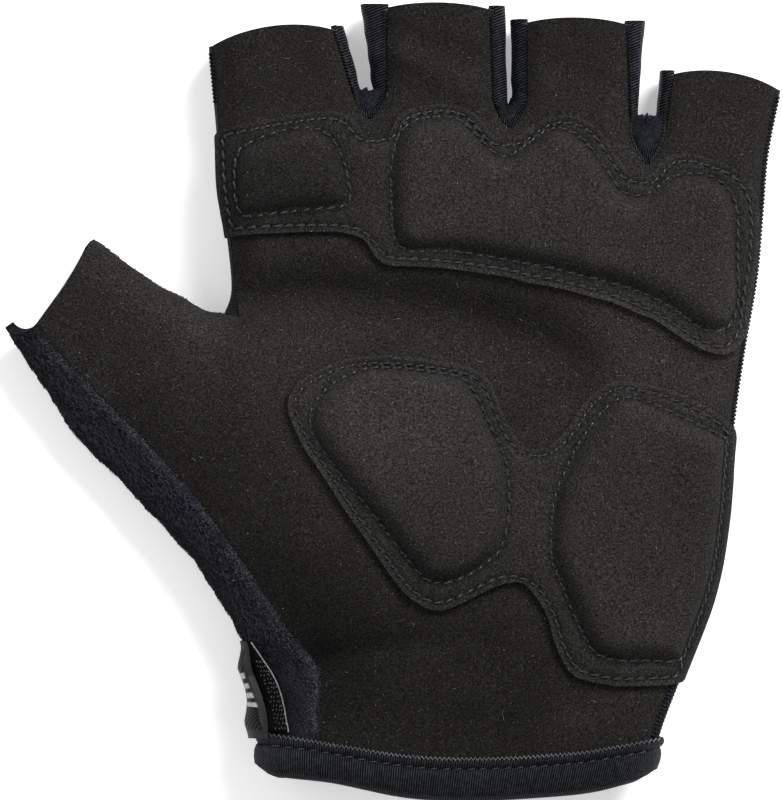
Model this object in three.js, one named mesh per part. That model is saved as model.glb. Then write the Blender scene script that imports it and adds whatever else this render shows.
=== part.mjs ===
// A fingerless cycling glove for the left hand, lying on its back with the palm up.
// X runs across the palm, Y towards the fingers, Z up out of the palm. Lengths are millimetres.
import * as THREE from "three";

const { lerp, smoothstep } = THREE.MathUtils;

// Plan sizes of the flat glove.
const PALM_WIDTH = 102;
const PALM_LENGTH = 119;
const FINGER_LENGTH = 23;
const SLOT_WIDTH = 7;
const SLOT_ROUNDING = 1.3;
const THUMB_LENGTH = 28.6;
const THUMB_WIDTH = 22.7;
const THUMB_ANGLE = 150.5;
const WRIST_SAG = 4.4;

// Heights of the palm side above the ground, and how the cloth turns over at its edges.
const PALM_HEIGHT = 17;
const FINGER_HEIGHT = 14.5;
const THUMB_HEIGHT = 14;
const WRIST_HEIGHT = 16;
const ROLL_REACH = 7.5;
const SLOT_REACH = 4;
const SLOT_DROP = 1.8;
const SLOT_RISE = 1.2;
const FOLD_RISE = 5.5;

// Thicknesses of the cloths and the trim.
const SUEDE = 1.2;
const KNIT = 1;
const TERRY = 1.6;
const GUSSET_TAPE = 0.9;
const GUSSET_TUCK = 1;
const PATCH = 1;
const PAD_EDGE = 0.5;
const PAD_HEIGHT = 2.6;
const INDEX_PAD_HEIGHT = 2;
const PAD_ROUNDING = 5;
const HOOK_TAPE = 1.2;
const TAB_RUBBER = 1.8;

// Wrist binding: the folded tape, the height of its flanges and the depth of its fold.
const BINDING_TAPE = 0.8;
const BINDING_FLANGE = 5.8;
const BINDING_FOLD = 2.2;
const BINDING_ROUNDING = 1.2;

// Seams: the gap between two pieces, the gap on a steep side, and the seam's place from the edge.
const GAP = 0.35;
const PATCH_GAP = 0.45;
const SIDE_GAP = 0.2;
const SEAM_INSET = 0.8;
const PATCH_INSET = 1.3;
const PAD_INSET = 2.3;

// Wrist closure: the pull tab is laid round the thumb edge of the wrist.
const TAB_WRAP = 1.7;
const TAB_LENGTH = 45;
const HOOK_WRAP = 5.3;
const HOOK_LENGTH = 25;
const STRAP_STACK = GAP + HOOK_TAPE + GAP + TAB_RUBBER;

// Outline of the little finger's side, from the wrist up. Shares of the palm's width and length.
const RIGHT_SIDE = [
  { across: 0.354, up: -0.018 },
  { across: 0.378, up: 0.05 },
  { across: 0.41, up: 0.122 },
  { across: 0.469, up: 0.256 },
  { across: 0.495, up: 0.376 },
  { across: 0.507, up: 0.504 },
  { across: 0.529, up: 0.64 },
  { across: 0.553, up: 0.76 },
  { across: 0.564, up: 0.864 },
  { across: 0.574, up: 0.96 },
  { across: 0.598, reach: 0.316 },
];
const RIGHT_ROOT = 0.96;

// Outline of the index finger's side, from its hem down to the crotch of the thumb.
const INDEX_SIDE = [
  { across: -0.469, reach: 0.678 },
  { across: -0.454, up: 0.992 },
  { across: -0.449, up: 0.904 },
  { across: -0.434, up: 0.824 },
  { across: -0.426, up: 0.744 },
  { across: -0.439, up: 0.706 },
];
const LEFT_ROOT = 0.992;
const CROTCH = INDEX_SIDE[INDEX_SIDE.length - 1];

// Outline of the thumb's upper edge, from the crotch to its hem. Shares of the thumb's sizes.
const THUMB_TOP = [
  { along: 0, below: 0 },
  { along: 0.12, below: 0.06 },
  { along: 0.31, below: 0.06 },
  { along: 0.535, below: 0.068 },
  { along: 1, below: 0 },
];

// Outline of the thumb's outer edge, from the tip of its hem down to the wrist.
const THUMB_SIDE = [
  { along: 1.22, below: 1 },
  { along: 1.07, below: 1.09 },
  { along: 0.92, below: 1.19 },
  { along: 0.71, below: 1.33 },
  { along: 0.43, below: 1.51 },
  { across: -0.633, up: 0.44 },
  { across: -0.562, up: 0.376 },
  { across: -0.493, up: 0.312 },
  { across: -0.458, up: 0.264 },
  { across: -0.413, up: 0.2 },
  { across: -0.376, up: 0.139 },
  { across: -0.361, up: 0.088 },
  { across: -0.369, up: 0.032 },
  { across: -0.369, up: -0.013 },
];

// Seam between the suede and the terry cloth: from the thumb's hem to the fork, and on to the wrist.
const TERRY_SEAM = [
  { along: 1.045, below: 0.85 },
  { along: 0.775, below: 0.98 },
  { along: 0.41, below: 1.115 },
  { across: -0.577, up: 0.496 },
  { across: -0.475, up: 0.397 },
  { across: -0.382, up: 0.285 },
  { across: -0.317, up: 0.2 },
];
const WRIST_SEAM = [
  { across: -0.317, up: 0.2 },
  { across: -0.274, up: 0.157 },
  { across: -0.257, up: 0.12 },
  { across: -0.263, up: 0.069 },
  { across: -0.259, up: 0.016 },
];
const WRIST_SEAM_SHARE = 0.159;

// Line from the fork of the seam up to the crotch, where the thumb joins the palm.
const THUMB_ROOT = [
  { across: -0.317, up: 0.2 },
  { across: -0.369, up: 0.312 },
  { across: -0.397, up: 0.44 },
  { across: -0.408, up: 0.568 },
];
const THUMB_ROOT_INSET = { across: -0.41, up: 0.699 };

// Slots between the fingers: the bottom of each, and where the tape's fold stands across it.
const SLOTS = [
  { name: "index_middle", across: -0.171, up: 1.018, low: [0.25, 0.61], high: [0.175, 0.56] },
  { name: "middle_ring", across: 0.093, up: 1.0, low: [0.43, 0.57], high: [0.43, 0.57] },
  { name: "ring_little", across: 0.358, up: 0.947, low: [0.21, 0.74], high: [0.42, 0.74] },
];

// Finger hems: both corners, with their reach as a share of the finger length, and the hem's bow.
const FINGERS = [
  { left: { across: -0.469, reach: 0.678 }, right: { across: -0.238, reach: 0.812 }, bow: 0.09 },
  { left: { across: -0.134, reach: 0.993 }, right: { across: 0.054, reach: 0.978 }, bow: 0.045 },
  { left: { across: 0.125, reach: 0.869 }, right: { across: 0.307, reach: 0.854 }, bow: 0.045 },
  { left: { across: 0.397, reach: 0.445 }, right: { across: 0.598, reach: 0.316 }, bow: 0.075 },
];

// Section of the gusset tape: how far it stands into the slot or is tucked under, and its height.
const GUSSET_SECTION = [
  { reach: 0, tuck: 1, height: 1 },
  { reach: 0.5, tuck: 0, height: 0.87 },
  { reach: 1, tuck: 0, height: 0.55 },
  { reach: 0.5, tuck: 0, height: 0.13 },
  { reach: 0, tuck: 1, height: 0 },
];

// Where the height changes: from and to, as shares of the palm's length or, at the thumb, its width.
const RAMPS = {
  finger: [0.85, 1.1],
  wrist: [0.05, 0.35],
  thumb: [-0.7, -0.4],
  closure: [0.2, 0.32],
};

// Soft folds and swellings of the palm: a line, its width over the palm's, and its height over it.
const FOLDS = [
  { from: { across: -0.06, up: 0.7 }, to: { across: 0.19, up: 0.6 }, width: 0.075, height: -0.011 },
  { from: { across: 0.12, up: 0.53 }, to: { across: 0.13, up: 0.45 }, width: 0.08, height: -0.009 },
  { from: { across: -0.25, up: 0.14 }, to: { across: 0, up: 0.19 }, width: 0.06, height: -0.009 },
  { from: { across: -0.36, up: 0.66 }, to: { across: -0.16, up: 0.68 }, width: 0.1, height: 0.009 },
  { from: { across: -0.5, up: 0.56 }, to: { across: -0.42, up: 0.44 }, width: 0.08, height: -0.007 },
  { from: { across: -0.3, up: 0.4 }, to: { across: -0.2, up: 0.25 }, width: 0.09, height: 0.008 },
];

// Outlines of the suede patches and of their padded fields: lower and upper edge at each place.
const KNUCKLE_PATCH = [
  { across: -0.446, low: 0.827, high: 0.99 },
  { across: -0.4, low: 0.829, high: 1.004 },
  { across: -0.313, low: 0.832, high: 1.018 },
  { across: -0.242, low: 0.832, high: 1.025 },
  { across: -0.205, low: 0.83, high: 1.014 },
  { across: -0.176, low: 0.82, high: 0.984 },
  { across: -0.155, low: 0.79, high: 0.975 },
  { across: -0.132, low: 0.78, high: 0.986 },
  { across: -0.112, low: 0.779, high: 1.019 },
  { across: -0.065, low: 0.778, high: 1.034 },
  { across: -0.009, low: 0.774, high: 1.035 },
  { across: 0.026, low: 0.771, high: 1.021 },
  { across: 0.061, low: 0.766, high: 0.984 },
  { across: 0.089, low: 0.762, high: 0.973 },
  { across: 0.119, low: 0.755, high: 0.989 },
  { across: 0.158, low: 0.749, high: 1.013 },
  { across: 0.201, low: 0.741, high: 1.018 },
  { across: 0.246, low: 0.73, high: 1.003 },
  { across: 0.279, low: 0.722, high: 0.968 },
  { across: 0.313, low: 0.71, high: 0.922 },
  { across: 0.335, low: 0.702, high: 0.914 },
  { across: 0.361, low: 0.693, high: 0.926 },
  { across: 0.387, low: 0.678, high: 0.952 },
  { across: 0.428, low: 0.656, high: 0.957 },
  { across: 0.466, low: 0.642, high: 0.947 },
  { across: 0.494, low: 0.642, high: 0.939 },
  { across: 0.522, low: 0.672, high: 0.923 },
  { across: 0.544, low: 0.8, high: 0.88 },
];
const INDEX_PAD = [
  { across: -0.412, low: 0.896, high: 0.944 },
  { across: -0.404, low: 0.866, high: 0.965 },
  { across: -0.391, low: 0.858, high: 0.973 },
  { across: -0.354, low: 0.861, high: 0.987 },
  { across: -0.298, low: 0.867, high: 0.998 },
  { across: -0.251, low: 0.87, high: 0.992 },
  { across: -0.223, low: 0.872, high: 0.96 },
  { across: -0.205, low: 0.882, high: 0.907 },
];
const KNUCKLE_PAD = [
  { across: -0.128, low: 0.848, high: 0.936 },
  { across: -0.121, low: 0.821, high: 0.971 },
  { across: -0.112, low: 0.81, high: 0.99 },
  { across: -0.093, low: 0.802, high: 1.005 },
  { across: -0.065, low: 0.803, high: 1.014 },
  { across: -0.006, low: 0.803, high: 1.013 },
  { across: 0.028, low: 0.798, high: 0.989 },
  { across: 0.06, low: 0.794, high: 0.96 },
  { across: 0.089, low: 0.789, high: 0.952 },
  { across: 0.13, low: 0.782, high: 0.976 },
  { across: 0.168, low: 0.776, high: 0.997 },
  { across: 0.214, low: 0.766, high: 0.989 },
  { across: 0.255, low: 0.757, high: 0.952 },
  { across: 0.292, low: 0.749, high: 0.904 },
  { across: 0.32, low: 0.742, high: 0.89 },
  { across: 0.354, low: 0.73, high: 0.896 },
  { across: 0.391, low: 0.712, high: 0.92 },
  { across: 0.447, low: 0.68, high: 0.925 },
  { across: 0.479, low: 0.677, high: 0.914 },
  { across: 0.499, low: 0.693, high: 0.896 },
  { across: 0.51, low: 0.728, high: 0.864 },
];
const HEEL_PATCH = [
  { across: -0.318, low: 0.552, high: 0.571 },
  { across: -0.307, low: 0.525, high: 0.589 },
  { across: -0.289, low: 0.49, high: 0.602 },
  { across: -0.261, low: 0.456, high: 0.616 },
  { across: -0.214, low: 0.392, high: 0.632 },
  { across: -0.168, low: 0.336, high: 0.637 },
  { across: -0.13, low: 0.288, high: 0.637 },
  { across: -0.093, low: 0.253, high: 0.634 },
  { across: -0.047, low: 0.234, high: 0.629 },
  { across: 0, low: 0.245, high: 0.622 },
  { across: 0.047, low: 0.264, high: 0.603 },
  { across: 0.074, low: 0.274, high: 0.552 },
  { across: 0.093, low: 0.278, high: 0.512 },
  { across: 0.121, low: 0.274, high: 0.488 },
  { across: 0.158, low: 0.229, high: 0.488 },
  { across: 0.177, low: 0.176, high: 0.498 },
  { across: 0.205, low: 0.133, high: 0.523 },
  { across: 0.233, low: 0.122, high: 0.56 },
  { across: 0.27, low: 0.115, high: 0.589 },
  { across: 0.307, low: 0.112, high: 0.597 },
  { across: 0.382, low: 0.117, high: 0.584 },
  { across: 0.426, low: 0.132, high: 0.568 },
  { across: 0.447, low: 0.186, high: 0.56 },
  { across: 0.475, low: 0.252, high: 0.544 },
  { across: 0.492, low: 0.316, high: 0.53 },
  { across: 0.503, low: 0.404, high: 0.514 },
];
const THENAR_PAD = [
  { across: -0.276, low: 0.52, high: 0.549 },
  { across: -0.264, low: 0.501, high: 0.568 },
  { across: -0.242, low: 0.472, high: 0.589 },
  { across: -0.214, low: 0.44, high: 0.605 },
  { across: -0.168, low: 0.392, high: 0.618 },
  { across: -0.121, low: 0.339, high: 0.618 },
  { across: -0.093, low: 0.31, high: 0.616 },
  { across: -0.065, low: 0.283, high: 0.613 },
  { across: -0.028, low: 0.277, high: 0.608 },
  { across: 0.009, low: 0.288, high: 0.598 },
  { across: 0.034, low: 0.299, high: 0.565 },
  { across: 0.056, low: 0.314, high: 0.52 },
  { across: 0.074, low: 0.33, high: 0.488 },
  { across: 0.088, low: 0.376, high: 0.443 },
];
const HEEL_PAD = [
  { across: 0.169, low: 0.312, high: 0.376 },
  { across: 0.179, low: 0.291, high: 0.421 },
  { across: 0.196, low: 0.256, high: 0.456 },
  { across: 0.214, low: 0.219, high: 0.488 },
  { across: 0.237, low: 0.179, high: 0.517 },
  { across: 0.261, low: 0.16, high: 0.544 },
  { across: 0.298, low: 0.154, high: 0.57 },
  { across: 0.345, low: 0.154, high: 0.565 },
  { across: 0.41, low: 0.16, high: 0.541 },
  { across: 0.447, low: 0.224, high: 0.525 },
  { across: 0.466, low: 0.275, high: 0.517 },
  { across: 0.48, low: 0.336, high: 0.509 },
  { across: 0.49, low: 0.424, high: 0.499 },
];

// Rows of the closure from its upper to its lower edge, and how far the pull tab and the hook tape
// reach onto the palm side, as shares of their longest reach.
const CLOSURE_ROWS = [
  { up: 0.185, tab: 0.59, hook: 0.45 },
  { up: 0.16, tab: 0.47, hook: 0.51 },
  { up: 0.135, tab: 0.24, hook: 0.57 },
  { up: 0.11, tab: 0.2, hook: 0.58 },
  { up: 0.085, tab: 0.24, hook: 0.64 },
  { up: 0.06, tab: 0.59, hook: 0.8 },
  { up: 0.041, tab: 0.94, hook: 0.98 },
];

// How finely the cloths are divided: shares along a line, from one end to the other.
const SIDE_FINGER_COLUMNS = [0, 0.05, 0.14, 0.28, 0.5, 0.75, 1];
const FINGER_COLUMNS = [0, 0.25, 0.5, 0.75, 1];
const THUMB_ROOT_STEPS = [0, 0.2, 0.4, 0.58, 0.73, 0.85, 0.93, 0.975, 1];
const INDEX_ROOT_STEPS = [0, 0.13, 0.5, 1];
const WRIST_STEPS = [0, 0.01, 0.03, 0.065, 0.12, 0.2, 0.3, 0.4, 0.5];
const PATCH_ROW = 8;
const FEWEST_PATCH_ROWS = 5;
const PATCH_COLUMN = 4.5;
const TERRY_TOP_COLUMNS = [0, 0.3, 0.56, 0.75, 0.89, 0.97, 1];
const TERRY_SOLE_COLUMNS = [0, 0.012, 0.05, 0.12, 0.25, 0.45, 0.7, 1];
const TERRY_STRETCHES = [
  { to: 0.347, steps: 8 },
  { to: 0.715, steps: 8 },
  { to: 1, steps: 6 },
];
const WRAP_COLUMNS = [1, 0.25, 0];
const TAB_TOP_COLUMNS = [1, 0.68, 0.4, 0.19, 0.06, 0];
const TAB_SOLE_COLUMNS = [0, 0.015, 0.05, 0.1, 0.18, 0.34, 0.66, 1];
const SPLINE_STEPS = 8;
const SEAM_STEPS = 8;
const WRIST_SEAM_STEPS = 6;
const PALM_THUMB_STEPS = [0.03, 0.12, 0.26, 0.42, 0.58, 0.75, 0.9, 1];
const TERRY_THUMB_STEPS = [1, 0.88, 0.74, 0.6, 0.46, 0.32, 0.2, 0.09, 0];
const ROUND_STEPS = 4;
const STRAIGHT_STEPS = 5;
const SLOPE_STEP = 0.5;

// The plan: where a row of a table lies.
function onPalm(across, up) {
  return new THREE.Vector2(across * PALM_WIDTH, up * PALM_LENGTH);
}

function onThumb(along, below) {
  const angle = THREE.MathUtils.degToRad(THUMB_ANGLE);
  const out = new THREE.Vector2(Math.cos(angle), Math.sin(angle));
  const down = new THREE.Vector2(-out.y, out.x);
  return onPalm(CROTCH.across, CROTCH.up)
    .addScaledVector(out, along * THUMB_LENGTH)
    .addScaledVector(down, below * THUMB_WIDTH);
}

function place(row) {
  if ("along" in row) return onThumb(row.along, row.below);
  const point = onPalm(row.across, row.up ?? 1);
  if ("reach" in row) point.y += row.reach * FINGER_LENGTH;
  return point;
}

function smoothLine(rows) {
  const curve = new THREE.SplineCurve(rows.map(place));
  return curve.getPoints((rows.length - 1) * SPLINE_STEPS);
}

// Lengths along a line, as shares of the whole line.
function lengthShares(line) {
  const lengths = [0];
  for (let i = 1; i < line.length; i += 1) {
    lengths.push(lengths[i - 1] + line[i].distanceTo(line[i - 1]));
  }
  return lengths.map((length) => length / lengths[lengths.length - 1]);
}

function pointAlong(line, share) {
  const shares = lengthShares(line);
  let i = 0;
  while (i < line.length - 2 && shares[i + 1] < share) i += 1;
  const part = (share - shares[i]) / (shares[i + 1] - shares[i]);
  return line[i].clone().lerp(line[i + 1], part);
}

function divide(line, count) {
  return Array.from({ length: count + 1 }, (_, k) => pointAlong(line, k / count));
}

// The point of a rising or falling line at a given Y; the line runs on straight past its ends.
function pointAtLevel(line, y) {
  const rising = line[line.length - 1].y > line[0].y;
  let i = 0;
  while (i < line.length - 2 && (rising ? line[i + 1].y < y : line[i + 1].y > y)) i += 1;
  const part = (y - line[i].y) / (line[i + 1].y - line[i].y);
  return line[i].clone().lerp(line[i + 1], part);
}

function offsetAcross(line, point, distance) {
  const { left } = nearest([{ points: line, openStart: true, openEnd: true }], point);
  return point.clone().addScaledVector(left, distance);
}

// One side of a slot, from its round bottom up to the finger's hem corner.
function slotEdge(slot, side) {
  const bottom = place(slot);
  const number = SLOTS.indexOf(slot);
  const corner = place(side < 0 ? FINGERS[number].right : FINGERS[number + 1].left);
  const half = SLOT_WIDTH / 2;
  const rise = SLOT_ROUNDING * half;
  const points = [];
  for (let k = 0; k <= ROUND_STEPS; k += 1) {
    const turn = (Math.PI / 2) * (k / ROUND_STEPS);
    const step = new THREE.Vector2(side * half * Math.sin(turn), rise * (1 - Math.cos(turn)));
    points.push(bottom.clone().add(step));
  }
  const shoulder = points[ROUND_STEPS];
  const foldPart = (bottom.y + FOLD_RISE - shoulder.y) / (corner.y - shoulder.y);
  for (let k = 0; k <= STRAIGHT_STEPS; k += 1) {
    points.push(shoulder.clone().lerp(corner, lerp(foldPart, 1, k / STRAIGHT_STEPS)));
  }
  return points;
}

const rightSide = smoothLine(RIGHT_SIDE);
const indexSide = smoothLine(INDEX_SIDE);
const thumbTop = smoothLine(THUMB_TOP);
const thumbSide = smoothLine(THUMB_SIDE);
const crotch = place(CROTCH);
const slots = SLOTS.map((slot) => ({ slot, left: slotEdge(slot, -1), right: slotEdge(slot, 1) }));

// Edges where the cloth rolls over, each with the cloth on its left as it runs.
const ROLLED_EDGES = [
  { points: rightSide, openStart: true, openEnd: true },
  { points: indexSide, openStart: true, openEnd: false },
  { points: thumbTop, openStart: false, openEnd: true },
  { points: thumbSide, openStart: true, openEnd: true },
];
const SLOT_EDGES = slots.map(({ left, right }) => ({
  points: [...right].reverse().concat(left.slice(1)),
  openStart: true,
  openEnd: true,
}));

// The nearest point of some edges: how far it is, the way in from it, and the edge's left there.
function nearest(edges, point) {
  let best = { distance: Infinity };
  for (const { points, openStart, openEnd } of edges) {
    const last = points.length - 2;
    for (let i = 0; i <= last; i += 1) {
      const run = points[i + 1].clone().sub(points[i]);
      let part = point.clone().sub(points[i]).dot(run) / run.lengthSq();
      if (part < 0 && !(openStart && i === 0)) part = 0;
      if (part > 1 && !(openEnd && i === last)) part = 1;
      const foot = points[i].clone().addScaledVector(run, part);
      const distance = foot.distanceTo(point);
      const left = new THREE.Vector2(-run.y, run.x).normalize();
      if (distance < best.distance - 1e-6) best = { distance, foot, left };
      else if (distance < best.distance + 1e-6) best.left.add(left);
    }
  }
  best.left.normalize();
  const away = point.clone().sub(best.foot);
  best.inside = away.dot(best.left) >= -1e-9;
  best.inward = best.distance > 1e-4 ? away.divideScalar(best.distance) : best.left.clone();
  return best;
}

// Moves a point in from the rolled edges until it is at least this far from them.
function keepInside(point, least) {
  const { distance, inside, foot, left } = nearest(ROLLED_EDGES, point);
  if (inside && distance >= least) return point;
  return foot.clone().addScaledVector(left, least);
}

// Height of the palm side before its edges roll over.
function palmHeight(point) {
  const across = point.x / PALM_WIDTH;
  const up = point.y / PALM_LENGTH;
  let height = PALM_HEIGHT;
  height += (FINGER_HEIGHT - PALM_HEIGHT) * smoothstep(up, ...RAMPS.finger);
  height += (WRIST_HEIGHT - PALM_HEIGHT) * (1 - smoothstep(up, ...RAMPS.wrist));
  height += (THUMB_HEIGHT - PALM_HEIGHT) * (1 - smoothstep(across, ...RAMPS.thumb));
  for (const fold of FOLDS) {
    const from = place(fold.from);
    const run = place(fold.to).sub(from);
    const part = THREE.MathUtils.clamp(point.clone().sub(from).dot(run) / run.lengthSq(), 0, 1);
    const away = point.distanceTo(from.addScaledVector(run, part)) / (fold.width * PALM_WIDTH);
    height += fold.height * PALM_WIDTH * Math.exp(-away * away);
  }
  return height;
}

// The back of the wrist stands off the ground by the closure that lies under it.
function backLift(point) {
  return STRAP_STACK * (1 - smoothstep(point.y / PALM_LENGTH, ...RAMPS.closure));
}

function slopeOf(field, point) {
  const x = new THREE.Vector2(SLOPE_STEP, 0);
  const y = new THREE.Vector2(0, SLOPE_STEP);
  const rise = (step) => field(point.clone().add(step)) - field(point.clone().sub(step));
  return new THREE.Vector2(rise(x), rise(y)).divideScalar(2 * SLOPE_STEP);
}

// A cloth edge that turns over in a quarter of an ellipse, and one that only eases down.
function roll(distance, height) {
  const turn = 1 - Math.min(distance / ROLL_REACH, 1);
  const round = Math.sqrt(Math.max(1 - turn * turn, 1e-6));
  return { drop: height * (1 - round), slope: (height * turn) / (ROLL_REACH * round) };
}

function ease(distance, height) {
  const turn = 1 - Math.min(distance / SLOT_REACH, 1);
  return { drop: height * turn * turn, slope: (2 * height * turn) / SLOT_REACH };
}

function edgeTurn(point, half, slotHeight) {
  const side = nearest(ROLLED_EDGES, point);
  const slot = nearest(SLOT_EDGES, point);
  const rolled = roll(side.inside ? side.distance : 0, half);
  const eased = ease(slot.distance, slotHeight);
  if (rolled.drop > eased.drop) return { ...rolled, inward: side.inward };
  return { ...eased, inward: slot.inward };
}

// A point of the glove's palm side, with its normal, and the same for its back.
function onTop(point) {
  const height = palmHeight(point);
  const half = (height - backLift(point) - GAP) / 2;
  const { drop, slope, inward } = edgeTurn(point, half, SLOT_DROP);
  const slant = slopeOf(palmHeight, point).addScaledVector(inward, slope);
  const at = new THREE.Vector3(point.x, point.y, height - drop);
  return { plan: point, at, normal: new THREE.Vector3(-slant.x, -slant.y, 1).normalize() };
}

function onSole(point) {
  const lift = backLift(point);
  const half = (palmHeight(point) - lift - GAP) / 2;
  const { drop, slope, inward } = edgeTurn(point, half, SLOT_RISE);
  const slant = slopeOf(backLift, point).addScaledVector(inward, -slope);
  const at = new THREE.Vector3(point.x, point.y, lift + drop);
  return { plan: point, at, normal: new THREE.Vector3(slant.x, slant.y, -1).normalize() };
}

// A four-sided patch of plan points between its four edges.
function fillPatch(bottom, top, left, right) {
  const meanShares = (a, b) => {
    const other = lengthShares(b);
    return lengthShares(a).map((share, i) => (share + other[i]) / 2);
  };
  const columns = meanShares(bottom, top);
  const rows = meanShares(left, right);
  const last = columns.length - 1;
  return rows.map((v, j) =>
    columns.map((u, i) => {
      if (j === 0) return bottom[i];
      if (j === rows.length - 1) return top[i];
      if (i === 0) return left[j];
      if (i === last) return right[j];
      const point = bottom[i].clone().lerp(top[i], v);
      point.add(left[j].clone().lerp(right[j], u));
      const low = bottom[0].clone().lerp(bottom[last], u);
      const high = top[0].clone().lerp(top[last], u);
      return point.sub(low.lerp(high, v));
    }),
  );
}

function lift(grid, surface) {
  return grid.map((row) => row.map(surface));
}

// A closed cloth of surface patches that share edges, from one depth along the normals to another.
function shell(patches, low, high, flip = false) {
  const points = [];
  const numbers = new Map();
  const triangles = [];
  const numberOf = (vertex) => {
    const key = vertex.at.toArray().map((value) => Math.round(value * 100)).join();
    if (!numbers.has(key)) {
      numbers.set(key, points.length);
      points.push(vertex);
    }
    return numbers.get(key);
  };
  const addTriangle = (a, b, c) => {
    if (a === b || b === c || c === a) return;
    triangles.push(flip ? [a, c, b] : [a, b, c]);
  };
  for (const patch of patches) {
    for (let j = 0; j + 1 < patch.length; j += 1) {
      for (let i = 0; i + 1 < patch[j].length; i += 1) {
        const corners = [patch[j][i], patch[j][i + 1], patch[j + 1][i + 1], patch[j + 1][i]];
        const [a, b, c, d] = corners.map(numberOf);
        addTriangle(a, b, c);
        addTriangle(a, c, d);
      }
    }
  }
  const used = new Set();
  for (const [a, b, c] of triangles) {
    used.add(`${a},${b}`).add(`${b},${c}`).add(`${c},${a}`);
  }
  const depthOf = (depth, vertex) => (typeof depth === "number" ? depth : depth(vertex));
  const layer = (depth) =>
    points.map((vertex) => vertex.at.clone().addScaledVector(vertex.normal, depthOf(depth, vertex)));
  const corners = [...layer(high), ...layer(low)].flatMap((corner) => corner.toArray());
  const under = points.length;
  const faces = [];
  for (const [a, b, c] of triangles) {
    faces.push(a, b, c, under + a, under + c, under + b);
    for (const [from, to] of [[a, b], [b, c], [c, a]]) {
      if (used.has(`${to},${from}`)) continue;
      faces.push(to, from, under + from, to, under + from, under + to);
    }
  }
  const geometry = new THREE.BufferGeometry();
  geometry.setAttribute("position", new THREE.Float32BufferAttribute(corners, 3));
  geometry.setIndex(faces);
  geometry.computeVertexNormals();
  return geometry;
}

// The wrist line at a share of its width, or a line beside it that lies higher or lower.
function wristPoint(share, above = 0) {
  const from = thumbSide[thumbSide.length - 1].y + above;
  const to = rightSide[0].y + above;
  const point = pointAtLevel(thumbSide, from).lerp(pointAtLevel(rightSide, to), share);
  point.y -= WRIST_SAG * 4 * share * (1 - share);
  return point;
}

function bothWays(steps) {
  const mirrored = steps.map((step) => 1 - step).reverse();
  return steps.concat(mirrored.filter((step) => step > steps[steps.length - 1]));
}

// Seams and lines that several cloths share.
const terrySeam = smoothLine(TERRY_SEAM);
const seamUpper = divide(terrySeam, SEAM_STEPS);
const wristSeamLine = smoothLine(WRIST_SEAM.slice(0, -1)).concat(wristPoint(WRIST_SEAM_SHARE));
const seamLower = divide(wristSeamLine, WRIST_SEAM_STEPS);
const fork = seamUpper[SEAM_STEPS];
seamLower[0] = fork;
const lowerRows = [...seamLower].reverse();

function thumbRoot(end) {
  const line = smoothLine(THUMB_ROOT.concat(end));
  const points = THUMB_ROOT_STEPS.map((share) => pointAlong(line, share));
  points[0] = fork;
  return points;
}

// Rows of the trunk at the index finger's side, above the crotch.
const indexRootRows = INDEX_ROOT_STEPS.slice(1).map((step) =>
  pointAtLevel(indexSide, lerp(crotch.y, LEFT_ROOT * PALM_LENGTH, step)),
);
const palmThumbRoot = thumbRoot(THUMB_ROOT_INSET);
const backThumbRoot = thumbRoot(CROTCH);
const palmLeft = [...lowerRows, ...palmThumbRoot.slice(1), ...indexRootRows];
const rowLevels = palmLeft.map(
  (point) => (point.y - palmLeft[0].y) / (palmLeft[palmLeft.length - 1].y - palmLeft[0].y),
);
const rightRows = rowLevels.map((level) =>
  pointAtLevel(rightSide, lerp(rightSide[0].y, RIGHT_ROOT * PALM_LENGTH, level)),
);
const SLOT_ROWS = [0, 2, 4, 6, 8, ROUND_STEPS + STRAIGHT_STEPS + 1];

// The trunk and the four fingers of one side, as plan grids, set in from the side edges.
function handGrids(leftRows, sideInset, surface) {
  const inset = (line, point) => offsetAcross(line, point, sideInset);
  const right = rightRows.map((point) => inset(rightSide, point));
  const roots = [leftRows[leftRows.length - 1], ...slots.map(({ left }) => left[0]), right[right.length - 1]];
  const columns = [
    SIDE_FINGER_COLUMNS,
    FINGER_COLUMNS,
    FINGER_COLUMNS,
    SIDE_FINGER_COLUMNS.map((step) => 1 - step).reverse(),
  ];
  const rootParts = columns.map((steps, n) => steps.map((step) => roots[n].clone().lerp(roots[n + 1], step)));
  const top = rootParts.flatMap((part, n) => (n === 0 ? part : part.slice(1)));
  const rightShare = 1 - sideInset / wristPoint(0).distanceTo(wristPoint(1));
  const bottom = lengthShares(top).map((share) => wristPoint(lerp(WRIST_SEAM_SHARE, rightShare, share)));
  bottom[0] = leftRows[0];
  right[0] = bottom[bottom.length - 1];
  const grids = [fillPatch(bottom, top, leftRows, right)];
  FINGERS.forEach((finger, n) => {
    const edgeRows = (points) => SLOT_ROWS.map((k) => points[k]);
    const sideRows = (line, root, corner, rows) =>
      lengthShares(rows).map((share) => inset(line, pointAtLevel(line, lerp(root, corner.y, share))));
    let leftEdge = n > 0 ? edgeRows(slots[n - 1].right) : null;
    let rightEdge = n < 3 ? edgeRows(slots[n].left) : null;
    leftEdge ??= sideRows(indexSide, LEFT_ROOT * PALM_LENGTH, place(finger.left), rightEdge);
    rightEdge ??= sideRows(rightSide, RIGHT_ROOT * PALM_LENGTH, place(finger.right), leftEdge);
    leftEdge[0] = roots[n];
    rightEdge[0] = roots[n + 1];
    const last = leftEdge.length - 1;
    const hem = lengthShares(rootParts[n]).map((share) => {
      const point = leftEdge[last].clone().lerp(rightEdge[last], share);
      point.y += finger.bow * FINGER_LENGTH * 4 * share * (1 - share);
      return point;
    });
    grids.push(fillPatch(rootParts[n], hem, leftEdge, rightEdge));
  });
  return grids.map((grid) => lift(grid, surface));
}

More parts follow.
